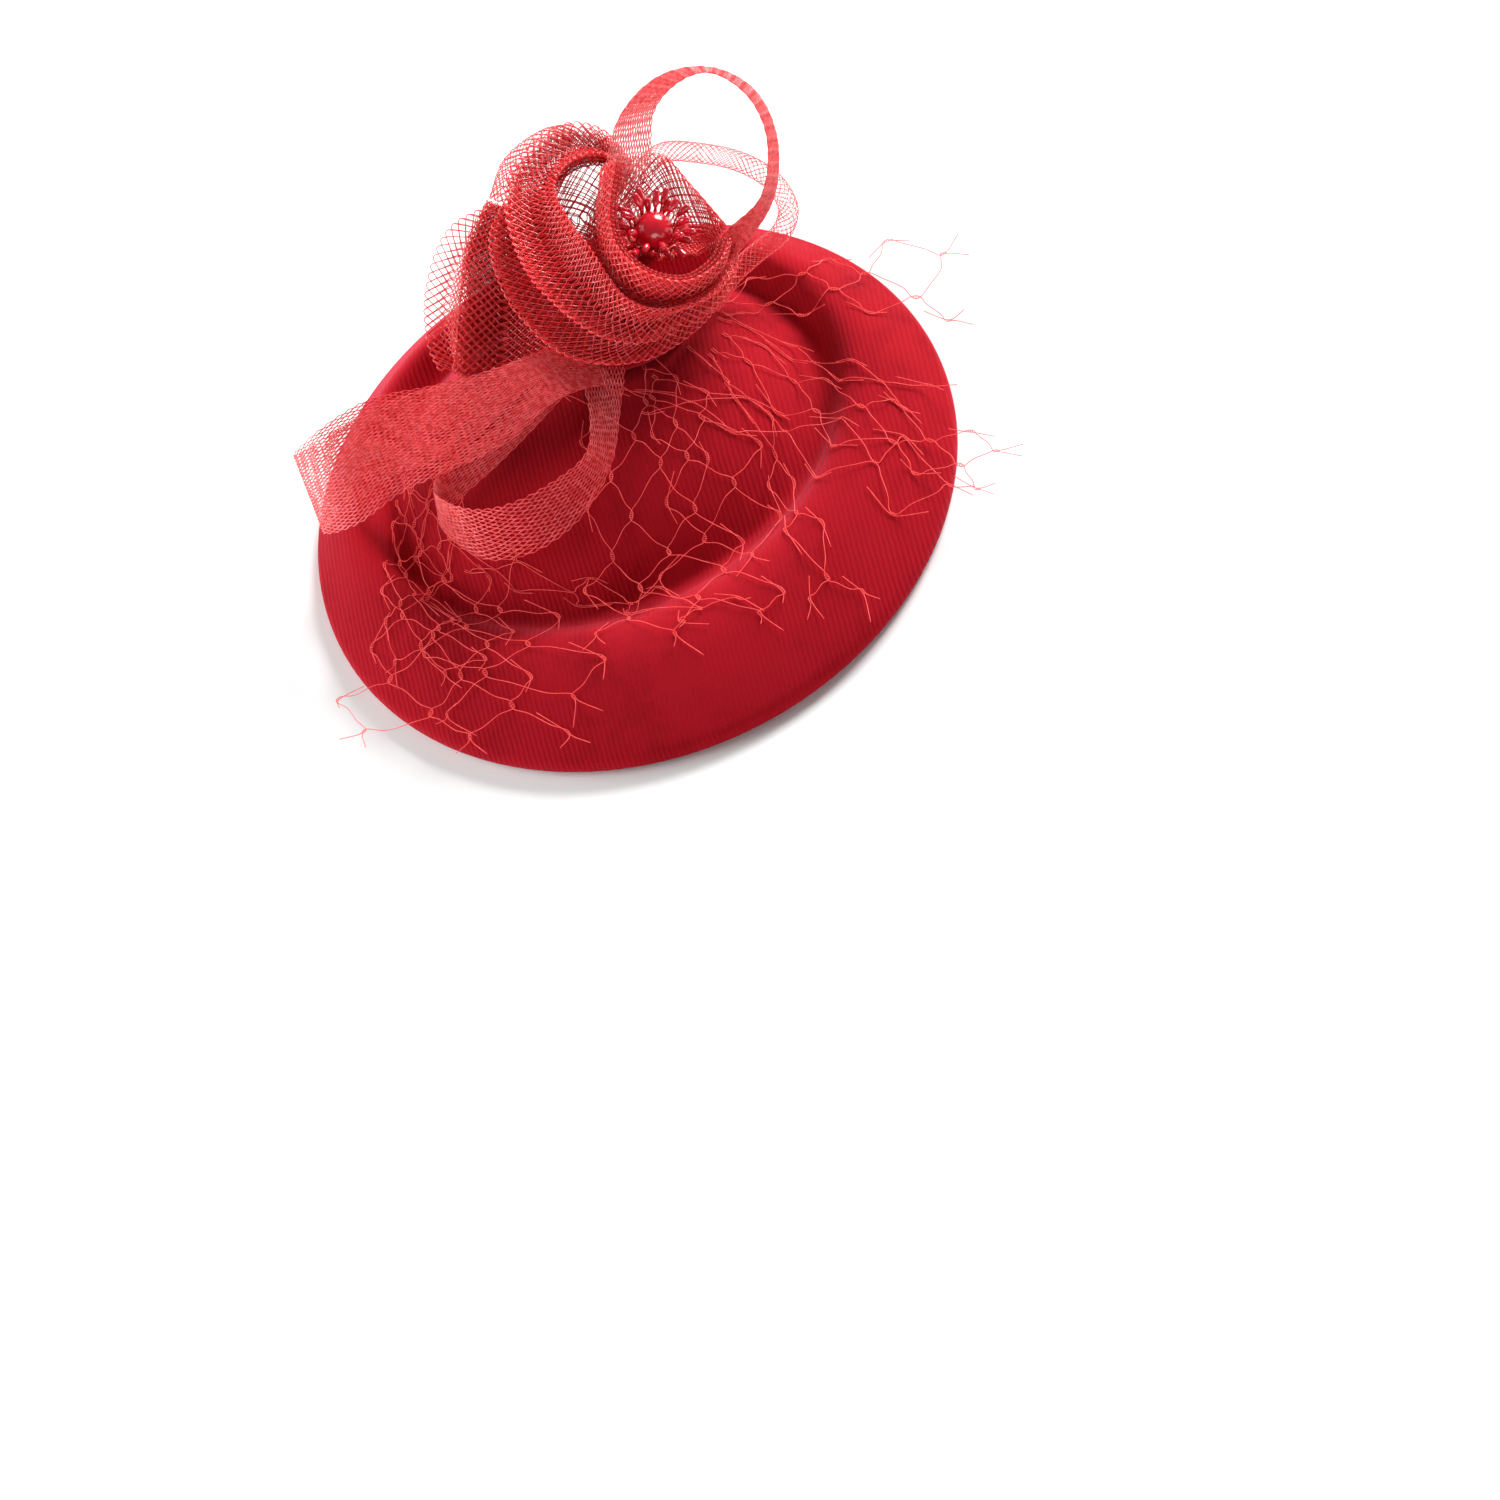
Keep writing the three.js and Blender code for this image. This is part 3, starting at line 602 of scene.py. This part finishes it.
def make_lining():
    """Satin, eased into the crown with faint radial pleats and a folded edge."""
    upper = under(HEM_DEPTH, LINING_EDGE_RADIUS)
    lower = under(HEM_DEPTH + LINING, LINING_EDGE_RADIUS)
    profile = np.concatenate([lower[::2], upper[::-2]])
    points, faces = lathe_mesh(on_axis(profile), BASE_COLUMNS, lay)
    lower_count = len(lower[::2]) * BASE_COLUMNS
    turn = np.arctan2(points[:lower_count, 1] - CROWN_SET[1], points[:lower_count, 0] - CROWN_SET[0])
    radius = np.hypot(points[:lower_count, 0], points[:lower_count, 1])
    fold = (0.5 + 0.5 * np.sin(PLEATS * turn + 2 * np.sin(3 * turn))) ** 3
    points[:lower_count, 2] -= PLEAT_DEPTH * np.clip((radius - 20) / 60, 0, 1) * fold
    piece = mesh_piece("lining_satin", points, faces, SATIN)
    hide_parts("lining")


STITCH_COUNT = 88
STITCH_THREAD = 0.22  # radius
STITCH_RADII = np.array([92.2, 92.0, 91.0, 89.9, 89.7])  # a stitch's points, from the hem in to the lining
STITCH_LEAN = np.array([0, 0.04, 0.14, 0.24, 0.28])  # its points' places round, in stitches
STITCH_PROUD = np.array([0.3, -0.15, -0.3, -0.2, 0.3])  # up into the cloth at its ends, below it between them


def make_lining_stitches():
    """Slip stitches that hold the lining's edge to the hem."""
    hem = under(HEM_DEPTH + FELT, CORE_EDGE_RADIUS, HEM_INNER_RADIUS)
    cloth = under(HEM_DEPTH + LINING, LINING_EDGE_RADIUS)
    on_hem = np.interp(STITCH_RADII, hem[:, 0], hem[:, 1])
    on_cloth = np.interp(STITCH_RADII, cloth[:, 0], cloth[:, 1])
    height = np.where(STITCH_RADII >= HEM_INNER_RADIUS, on_hem, on_cloth) + STITCH_PROUD
    strands = []
    for i in range(STITCH_COUNT):
        turn = 2 * math.pi * (i + STITCH_LEAN) / STITCH_COUNT
        line = lay(np.stack([STITCH_RADII * np.cos(turn), STITCH_RADII * np.sin(turn), height], -1))
        line = curve(line, np.linspace(0, 1, 13))
        strands.append((line, np.broadcast_to(UP, line.shape), STITCH_THREAD))
    strand_piece("lining_stitches", strands, THREAD, sides=6)


# ---- The crin rose and the loops -----------------------------------------------------------------

# Each strip of crin: how far it bulges along its middle, and the two edges' points, station by station.
# They are the CAD's, but the fan starts further back and the side petal's second edge lies further in.
PETALS = {
    "petal_outer": (4, [
        [[5, 75, 61], [16, 70, 62]], [[-5, 66, 59], [15, 57, 60]], [[-9, 48, 56], [16, 40, 59]],
        [[-7, 32, 52], [19, 29, 56]], [[-1, 18, 49], [23, 20, 53]], [[9, 10, 46], [27, 14, 51]],
        [[21, 8, 42], [34, 13, 48]], [[36, 13, 38], [42, 18, 45]], [[49, 22, 36], [54, 25, 43]],
        [[59, 30, 38], [61, 31, 44]],
    ]),
    "petal_second": (4, [
        [[43, 67, 56], [37, 62, 55]], [[40, 79, 63], [38, 70, 60]], [[32, 86, 66], [33, 72, 64]],
        [[21, 84, 68], [26, 71, 66]], [[10, 77, 69], [20, 66, 67]], [[3, 66, 68], [18, 59, 68]],
        [[0, 53, 65], [18, 50, 67]], [[0, 39, 62], [20, 36, 66]], [[4, 26, 58], [21, 25, 63]],
        [[10, 15, 54], [23, 16, 61]], [[20, 8, 50], [29, 10, 58]], [[34, 9, 46], [38, 9, 54]],
        [[46, 13, 44], [48, 12, 51]], [[56, 19, 45], [57, 18, 51]],
    ]),
    "petal_cup": (1, [
        [[38, 54, 76], [33, 61, 66]], [[29, 39, 72], [24, 46, 58]], [[27, 28, 69], [22, 31, 55]],
        [[32, 17, 65], [27, 20, 52]], [[41, 13, 60], [38, 16, 49]], [[52, 17, 57], [48, 21, 47]],
        [[58, 25, 55], [54, 31, 47]],
    ]),
    "petal_fan": (-4, [
        [[9, 66, 58], [14, 50, 50]], [[21, 76, 57], [20, 52, 45]], [[32, 77, 56], [24, 49, 43]],
        [[43, 74, 54], [29, 47, 42]], [[52, 71, 52], [35, 45, 41]], [[56, 60, 46], [41, 43, 40]],
        [[60, 45, 39], [48, 41, 38]],
    ]),
    "petal_side": (3, [
        [[-1, 79, 59], [12, 70, 54]], [[-12, 72, 55], [5, 55, 48]], [[-22, 57, 48], [0, 41, 43]],
        [[-33, 39, 41], [-5, 29, 39]],
    ]),
    "petal_left": (4, [
        [[0, 82, 54], [0, 72, 52]], [[-16, 83, 51], [-12, 70, 50]], [[-31, 72, 41], [-22, 61, 44]],
        [[-37, 59, 33], [-29, 51, 37]], [[-37, 51, 31], [-28, 45, 34]],
    ]),
    "petal_back": (3, [
        [[0, 88, 50], [5, 81, 48]], [[9, 94, 56], [15, 85, 53]], [[23, 97, 57], [24, 87, 54]],
        [[32, 96, 55], [32, 86, 51]],
    ]),
}

TUBE_ROUTE = [
    [24, 42, 35], [28, 52, 34], [36, 66, 39], [51, 75, 48], [64, 71, 44], [74, 63, 40],
    [79, 55, 36], [79, 45, 33], [74, 41, 30], [65, 39, 29], [55, 36, 28], [46, 29, 29], [40, 27, 34],
]

# Each loop of braid: the two edges' points, station by station, as in the CAD but for the left loop's root.
LOOPS = {
    "braid_loop_tall": [
        [[7, 42, 37], [14, 46, 37]], [[19, 53, 51], [30, 52, 51]], [[33, 62, 64], [46, 55, 65]],
        [[45, 73, 72], [55, 62, 79]], [[61, 79, 74], [65, 64, 83]], [[76, 77, 70], [74, 62, 83]],
        [[85, 68, 63], [81, 54, 76]], [[85, 54, 55], [81, 44, 67]], [[76, 41, 45], [72, 33, 57]],
        [[63, 36, 38], [59, 34, 49]], [[52, 34, 34], [51, 36, 41]],
    ],
    "braid_loop_left": [
        [[6, 25, 45], [9, 8, 40]], [[-12, 23, 50], [-8, 6, 46]],
        [[-26, 23, 53], [-27, 2, 43]], [[-40, 29, 50], [-46, 3, 42]], [[-56, 33, 49], [-62, 7, 38]],
        [[-74, 34, 46], [-78, 7, 34]], [[-87, 40, 38], [-89, 18, 25]], [[-79, 49, 33], [-80, 27, 20]],
        [[-60, 49, 36], [-63, 25, 26]], [[-39, 43, 35], [-42, 16, 33]], [[-16, 35, 38], [-16, 21, 39]],
        [[0, 32, 40], [1, 25, 39]],
    ],
    "braid_loop_low": [
        [[16, 20, 41], [8, 24, 42]], [[14, 11, 41], [2, 17, 43]], [[7, -2, 39], [-2, 0, 41]],
        [[-3, -16, 34], [-8, -12, 40]], [[-17, -25, 30], [-20, -16, 40]], [[-34, -25, 25], [-35, -17, 41]],
        [[-49, -16, 22], [-46, -11, 40]], [[-56, 2, 25], [-53, 4, 37]], [[-47, 2, 30], [-46, 13, 36]],
        [[-33, 3, 35], [-34, 12, 39]], [[-11, 9, 40], [-13, 17, 43]], [[-1, 14, 41], [-3, 20, 43]],
    ],
}

# Each petal is wound in layers: the part of its width each takes up, how far off it lies, and its cell.
OPEN_CELL = 2.4  # along the strip, between two crossings on one line
FINE_CELL = 2.0
CLOSE_CELL = 1.7
WHOLE = (0.0, 1.0)
LAYERS = {
    "petal_outer": [
        (WHOLE, 0, OPEN_CELL), ((0.03, 0.97), -1.8, CLOSE_CELL), ((0.06, 0.94), -3.4, CLOSE_CELL),
    ],
    "petal_second": [
        (WHOLE, 0, OPEN_CELL), ((0.03, 0.97), -1.8, FINE_CELL), ((0.04, 0.96), -3.4, FINE_CELL),
        ((0.06, 0.96), -5.0, FINE_CELL),
    ],
    "petal_cup": [
        (WHOLE, 0, OPEN_CELL), ((0.05, 0.95), 1.3, CLOSE_CELL), ((0.1, 1.0), 2.6, CLOSE_CELL),
    ],
    "petal_fan": [(WHOLE, 0, FINE_CELL), (WHOLE, 1.5, OPEN_CELL)],
    "petal_side": [
        (WHOLE, 0, OPEN_CELL), ((0.0, 0.97), -1.8, CLOSE_CELL), ((0.02, 0.95), -3.4, CLOSE_CELL),
        ((0.04, 0.95), -5.0, CLOSE_CELL),
    ],
    "petal_left": [(WHOLE, 0, OPEN_CELL)],
    "petal_back": [(WHOLE, 0, OPEN_CELL)],
}
CRIN_STRAND = 0.18  # radius
INNER_STRAND = 0.14
CRIN_PUFF = 0.7
BRAID_ANGLE = math.radians(14)
BRAID_SPACING = 0.9
BRAID_STRAND = 0.19
BRAID_WEAVE = 0.5  # how far a strand rises over another, in its own radii
BRAID_UNEVEN = 0.22


def make_petal(name):
    """The outermost layer of a strip, in crin, and those inside it in a darker, duller copy of the crin:
    painted shade.
    """
    crown, stations = PETALS[name]
    outermost, *inner = LAYERS[name]
    for part, layers, material, radius in (
        ("crin", [outermost], CRIN, CRIN_STRAND),
        ("inner_crin", inner, CRIN_PAINTED_SHADE, INNER_STRAND),
    ):
        strands, length = [], 0.0
        for across, lift, cell in layers:
            ribbon = Ribbon(stations, crown, across, lift)
            strands += flat_tube(ribbon, round(2 * ribbon.width / cell), cell, radius, CRIN_PUFF)
            length += ribbon.length
        if strands:
            piece = strand_piece(f"{name}_{part}", strands, material)
            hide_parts(name)


def make_loop(name, random):
    """A loop of flat open braid."""
    ribbon = Ribbon(LOOPS[name], crown=0)
    strands = round(2 * ribbon.width / (BRAID_SPACING / math.cos(BRAID_ANGLE)))
    lines = braided(ribbon, strands, BRAID_ANGLE, BRAID_STRAND, random)
    piece = strand_piece(name + "_braid", lines, BRAID)
    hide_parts(name)


def make_tube_loop():
    """The round tube of crin that loops out of the rose."""
    strands = round_tube(TUBE_ROUTE, strands=10, cell=1.8, radius=0.1, across=6.1)
    piece = strand_piece("crin_tube_loop_crin", strands, CRIN)
    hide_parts("crin_tube_loop")


# ---- Bead and stamens ----------------------------------------------------------------------------

STAMEN_COUNT = 27
HUB_RADIUS = 2.6
HUB = 2.0
HUB_DROP = BEAD_RADIUS + GAP + HUB / 2  # from the bead's centre to the hub's
STAMEN_WIRE = 0.3
STAMEN_TIP = 1.1
STAMEN_TIP_LENGTH = 4.6


def facing(points):
    """Points round the rose's own axis moved to their place about the bead's centre."""
    turn = np.array(Vector((0, 0, 1)).rotation_difference(CUP_AXIS).to_matrix())
    return points @ turn.T + BEAD_CENTRE


def make_bead():
    """The bead at the heart of the rose."""
    turn = np.linspace(-math.pi / 2, math.pi / 2, 40)
    profile = np.stack([BEAD_RADIUS * np.cos(turn), BEAD_RADIUS * np.sin(turn)], -1)
    points, faces = lathe_mesh(on_axis(profile), 64, facing)
    piece = mesh_piece("bead", points, faces, BEAD)
    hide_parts("centre_bead")


def make_stamens():
    """Stiff stalks from a hub under the bead, each ending in a glossy drop, no two quite alike."""
    random = np.random.default_rng(11)
    strands = []
    for i in range(STAMEN_COUNT):
        turn = 2 * math.pi * (i + random.uniform(-0.3, 0.3)) / STAMEN_COUNT
        reach = (7.0, 8.4, 6.4)[i % 3] + random.uniform(-0.4, 0.6)
        rise = (-1.0, 1.5, 3.2)[i % 3] + random.uniform(-0.6, 0.6)
        out = np.array([math.cos(turn), math.sin(turn), 0])
        root = out * (HUB_RADIUS - 0.8) - UP * HUB_DROP
        bend = out * 0.8 * reach - UP * (BEAD_RADIUS - 1)
        tip = out * reach + UP * rise
        length = STAMEN_TIP_LENGTH * random.uniform(0.8, 1.15)
        lean = out * random.uniform(0.4, 1.2) + UP * random.uniform(0.3, 0.9)
        end = tip + unit(lean) * length
        line = even_curve([root, bend, tip, end], 30)
        left = np.linalg.norm(line - end, axis=1) / length
        drop = STAMEN_TIP * np.sqrt(np.clip(1 - (1.6 * left - 0.7) ** 2, 0, 1)) * (left < 1.06)
        radii = np.maximum(drop, np.where(left > 0.6, STAMEN_WIRE, 0.05))
        strands.append((line, np.broadcast_to(np.cross(out, UP), line.shape), radii))
    points, faces = tube_mesh(strands, 8)
    hub_profile = on_axis([(0, -HUB / 2), (HUB_RADIUS, -HUB / 2), (HUB_RADIUS, HUB / 2), (0, HUB / 2)])
    hub_profile[:, 1] -= HUB_DROP
    hub_points, hub_faces = lathe_mesh(hub_profile, 24)
    faces = faces + [f + len(points) for f in hub_faces]
    piece = mesh_piece("stamen_drops", facing(np.concatenate([points, hub_points])), faces, BEAD)
    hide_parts("stamens")


# ---- Net veil ------------------------------------------------------------------------------------

NET_THREAD = 0.115  # radius
KNOT = 2.0  # length over which two threads of the net are bound side by side
KNOT_GAP = 0.3  # from a knot's middle to each of its two threads
KNOT_TURNS = 3
NET_LIFT = 0.6  # over the felt
NET_LEAVES = 99.0  # the radius near the brim's edge from which the net stands out
EDGE_LIFT = 1.5  # its quick rise just past there
NET_RISE = 0.3  # and its rise for each millimetre further out
NET_SPANS = (6, 11)  # how far to each side the net is held up where it bridges a hollow
NET_SAG = 1.0  # in such a bridge
GUIDE_STEPS = 60
SCATTER_ACROSS = 0.13  # of the knots, in cells
SCATTER_ALONG = 0.14
BOW = 0.03  # of a thread between two knots, in cells

# Fans of net: guide lines over the hat, from the gather to the cut edge, and the cells across and along.
FRONT_FANS = [
    {"cells": 6, "rows": 9, "guides": [
        [(-70, 30), (-80, 6), (-97, -14), (-121, -32)], [(-60, 27), (-69, 0), (-78, -34), (-100, -58)],
        [(-54, 20), (-60, -10), (-66, -45), (-70, -74)], [(-50, 10), (-46, -24), (-44, -60), (-37, -90)],
    ]},
    {"cells": 4, "rows": 8, "guides": [
        [(-62, 28), (-72, 4), (-80, -26), (-92, -50)], [(-55, 22), (-58, -14), (-54, -46), (-50, -76)],
        [(-46, 16), (-36, -24), (-28, -50), (-18, -84)],
    ]},
    {"cells": 6, "rows": 8, "guides": [
        [(-10, 18), (-14, -10), (-28, -30), (-38, -56)], [(4, 14), (2, -16), (-11, -35), (-14, -74)],
        [(16, 12), (16, -14), (5, -34), (11, -80)], [(28, 14), (30, -10), (28, -34), (34, -92)],
    ]},
    {"cells": 4, "rows": 6, "guides": [
        [(2, 12), (8, -6), (0, -28), (-20, -48)], [(16, 8), (24, -12), (22, -30), (12, -56)],
        [(30, 6), (42, -16), (44, -34), (46, -60)],
    ]},
    {"cells": 3, "rows": 8, "guides": [
        [(32, 16), (38, -10), (33, -44), (28, -80)], [(36, 12), (42, -16), (38, -50), (40, -92)],
        [(40, 8), (50, -14), (46, -48), (54, -86)],
    ]},
    {"cells": 5, "rows": 7, "guides": [
        [(-62, 37), (-76, 17), (-83, -6), (-91, -19)], [(-56, 21), (-69, 7), (-78, -18), (-88, -35)],
        [(-50, 9), (-65, -1), (-71, -31), (-75, -49)], [(-47, -8), (-57, -15), (-56, -45), (-50, -63)],
    ]},
    {"cells": 3, "rows": 8, "guides": [
        [(-52, -4), (-30, -29), (-7, -41), (15, -67)], [(-55, -8), (-35, -31), (-14, -48), (15, -77)],
        [(-55, -13), (-42, -30), (-25, -45), (-11, -65)],
    ]},
    {"cells": 3, "rows": 7, "guides": [
        [(15, 7), (41, -4), (66, -15), (91, -57)], [(13, 2), (43, -13), (64, -37), (90, -71)],
        [(13, -5), (33, -22), (54, -54), (76, -76)],
    ]},
    {"cells": 4, "rows": 8, "guides": [
        [(38, 10), (46, -14), (66, -46), (92, -74)], [(44, 16), (58, -8), (77, -36), (104, -66)],
        [(48, 24), (66, 2), (84, -26), (110, -56)],
    ]},
]
SIDE_FANS = [
    {"cells": 4, "rows": 6, "guides": [
        [(48, 26), (72, 16), (92, 2), (112, -12)], [(50, 34), (74, 30), (98, 20), (123, 8)],
        [(50, 44), (72, 46), (95, 46), (117, 42)],
    ]},
    {"cells": 3, "rows": 6, "guides": [
        [(46, 32), (66, 10), (82, -10), (100, -26)], [(46, 24), (60, 4), (72, -16), (84, -34)],
    ]},
]


def pattern_radius(x, y):
    """The radius in the round pattern of a point on the laid-out base, found by halving."""
    low, high = np.zeros_like(x), np.full_like(x, 140.0)
    for _ in range(30):
        radius = (low + high) / 2
        share = edge_share(radius)
        oval = CROWN_OVAL + (1 - CROWN_OVAL) * share
        set_x, set_y = CROWN_SET[0] * (1 - share), CROWN_SET[1] * (1 - share)
        outside = np.hypot(x - set_x, (y - set_y) / oval) > radius
        low, high = np.where(outside, radius, low), np.where(outside, high, radius)
    return radius


def net_height(at):
    """The net lies on the felt, or stands out past the brim's edge."""
    radius = pattern_radius(at[..., 0], at[..., 1])
    beyond = np.maximum(radius - NET_LEAVES, 0)
    felt = top_height(np.minimum(radius, TOP_END))
    return felt + NET_LIFT + np.minimum(beyond, EDGE_LIFT) + NET_RISE * beyond


class Fan:
    """A fan of net: points by share across it and share out from its gather. It spans hollows a little."""

    def __init__(self, fan):
        self.cells, self.rows = fan["cells"], fan["rows"]
        lines = [even_curve([(*p, 0) for p in guide], GUIDE_STEPS)[:, :2] for guide in fan["guides"]]
        self.guides = np.stack(lines)
        self.length = np.mean([np.sum(np.linalg.norm(np.diff(line, axis=0), axis=1)) for line in lines])

    def flat(self, share, out):
        across = np.clip(share, -0.2, 1.2) * (len(self.guides) - 1)
        i = np.clip(across.astype(int), 0, len(self.guides) - 2)
        along = out * (GUIDE_STEPS - 1)
        j = np.clip(along.astype(int), 0, GUIDE_STEPS - 2)
        w, u = (across - i)[..., None], (along - j)[..., None]
        g = self.guides
        here = (1 - u) * g[i, j] + u * g[i, j + 1]
        beside = (1 - u) * g[i + 1, j] + u * g[i + 1, j + 1]
        return (1 - w) * here + w * beside

    def place(self, share, out):
        at = self.flat(share, out)
        z = net_height(at)
        for span in NET_SPANS:
            step = span / self.length
            chord = (net_height(self.flat(share, out + step)) + net_height(self.flat(share, out - step))) / 2
            z = np.maximum(z, chord - NET_SAG)
        return np.concatenate([at, z[..., None]], -1)


def net_thread(fan, visits, random):
    """One thread, from knot to knot: at each it runs beside its neighbour, on its own side."""
    points = []
    for n, ((share, out), side) in enumerate(visits):
        here, ahead = fan.place(np.array([share, share]), np.array([out - 0.01, out + 0.01]))
        way = unit(ahead - here)
        over = side * KNOT_GAP * unit(np.cross(way, UP))
        middle = (here + ahead) / 2
        ends = [middle - way * KNOT / 2 + over, middle + way * KNOT / 2 + over]
        if n:
            before = visits[n - 1][0]
            bow = random.normal(0, BOW) / fan.cells
            for t in (0.3, 0.7):
                between = before[0] + (share - before[0]) * t + bow, before[1] + (out - before[1]) * t
                point = fan.place(*(np.array([v]) for v in between))[0]
                points.append(point + UP * random.uniform(0.1, 0.8))
        points += ends
    return points


def loose_end(fan, knot, side, way, random):
    """The short cut end that a thread leaves beside a knot."""
    reach = random.uniform(0.3, 0.75)
    share = knot[0] - side * 0.5 * reach / fan.cells
    out = knot[1] + way * reach / fan.rows
    return fan.place(np.array([share]), np.array([out]))[0] + UP * random.uniform(0, 1.2)


def net_strands(fan, random):
    """Diamonds of thread: neighbours meet at knots by turns, and the ends are cut free."""
    knots = {}
    for row in range(fan.rows + 1):
        for gap in range(fan.cells):
            if (row + gap) % 2 == 0:
                share = (gap + 0.5 + random.normal(0, SCATTER_ACROSS)) / fan.cells
                out = (row + (random.normal(0, SCATTER_ALONG) if row else 0)) / (fan.rows + 0.7)
                knots[row, gap] = (share, out)
    strands = []
    for thread in range(fan.cells + 1):
        runs = [[]]
        for row in range(fan.rows + 1):
            gap = thread if (row + thread) % 2 == 0 else thread - 1
            if (row, gap) in knots:
                runs[-1].append((knots[row, gap], -1 if gap == thread else 1))
            else:
                runs.append([])
        for visits in filter(None, runs):
            points = net_thread(fan, visits, random)
            first, last = visits[0], visits[-1]
            if first[0][1] > 0:
                points.insert(0, loose_end(fan, first[0], first[1], -1, random))
            points.append(loose_end(fan, last[0], last[1], 1, random))
            line = curve(points, np.linspace(0, 1, 6 * len(points)))
            strands.append((line, np.broadcast_to(UP, line.shape), NET_THREAD))
    for (row, _), (share, out) in knots.items():
        if row:
            strands += knot_turns(fan, share, out)
    return strands


def knot_turns(fan, share, out):
    """The turns of thread that bind two neighbours at a knot."""
    here, ahead = fan.place(np.array([share, share]), np.array([out - 0.01, out + 0.01]))
    way = unit(ahead - here)
    over = unit(np.cross(way, UP))
    turn = np.linspace(0, 2 * np.pi, 13)[:-1]
    rings = []
    for n in range(KNOT_TURNS):
        centre = (here + ahead) / 2 + way * KNOT * ((n + 0.5) / KNOT_TURNS - 0.5)
        wide, high = KNOT_GAP + NET_THREAD, 1.3 * NET_THREAD
        line = centre + wide * np.cos(turn)[:, None] * over + high * np.sin(turn)[:, None] * UP
        rings.append((line, np.broadcast_to(way, line.shape), 0.6 * NET_THREAD))
    return rings


def make_net(name, fans, seed):
    """A veil: fans of net gathered under the rose."""
    random = np.random.default_rng(seed)
    strands = [strand for fan in fans for strand in net_strands(Fan(fan), random)]
    piece = strand_piece(name + "_net", strands, NET, sides=5)
    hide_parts(name)


# ---- What the trim is sewn to --------------------------------------------------------------------


def make_disc():
    """The felt disc under the trim."""
    rings = np.linspace(0, DISC_RADIUS, 12)
    profile = on_axis([(r, SEAT) for r in rings] + [(r, SEAT + DISC) for r in rings[::-1]])

    def seat(points):
        points = points + [HEART[0], HEART[1], 0]
        points[:, 2] += top_height(np.hypot(points[:, 0], points[:, 1]))
        return lay(points)

    points, faces = lathe_mesh(profile, 72, seat)
    piece = mesh_piece("disc_felt", points, faces, FELT_RED)
    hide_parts("trim_disc")


def dress_frame_nodes():
    """The pieces that the CAD shapes already show well get their real materials."""
    finishes = {"buckram_core": BUCKRAM, "bound_stem": THREAD}
    for side in CLIP_SIDES:
        for node in ("fixed_jaw", "moving_jaw", "pin"):
            finishes[f"clip_{side}_{node}"] = STEEL
    for node, material in finishes.items():
        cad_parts[node].data.materials.clear()
        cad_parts[node].data.materials.append(material)


def make_springs():
    """Each clip's torsion spring: the CAD's spring mesh copied in steel and smoothly shaded."""
    for side in CLIP_SIDES:
        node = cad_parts[f"clip_{side}_spring"]
        mesh = node.data.copy()
        mesh.transform(node.matrix_world)
        mesh.materials.clear()
        mesh.materials.append(STEEL)
        mesh.polygons.foreach_set("use_smooth", np.full(len(mesh.polygons), True))
        piece = bpy.data.objects.new(f"clip_{side}_spring_wire", mesh)
        bpy.context.collection.objects.link(piece)
        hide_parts(node.name)
        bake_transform(piece)


make_camera()
make_stage()
make_felt_cover()
make_lining()
make_lining_stitches()
make_disc()
dress_frame_nodes()
make_springs()
for petal in PETALS:
    make_petal(petal)
braid_random = np.random.default_rng(7)
for loop in LOOPS:
    make_loop(loop, braid_random)
make_tube_loop()
make_bead()
make_stamens()
make_net("veil_front", FRONT_FANS, 3)
make_net("veil_side", SIDE_FANS, 5)
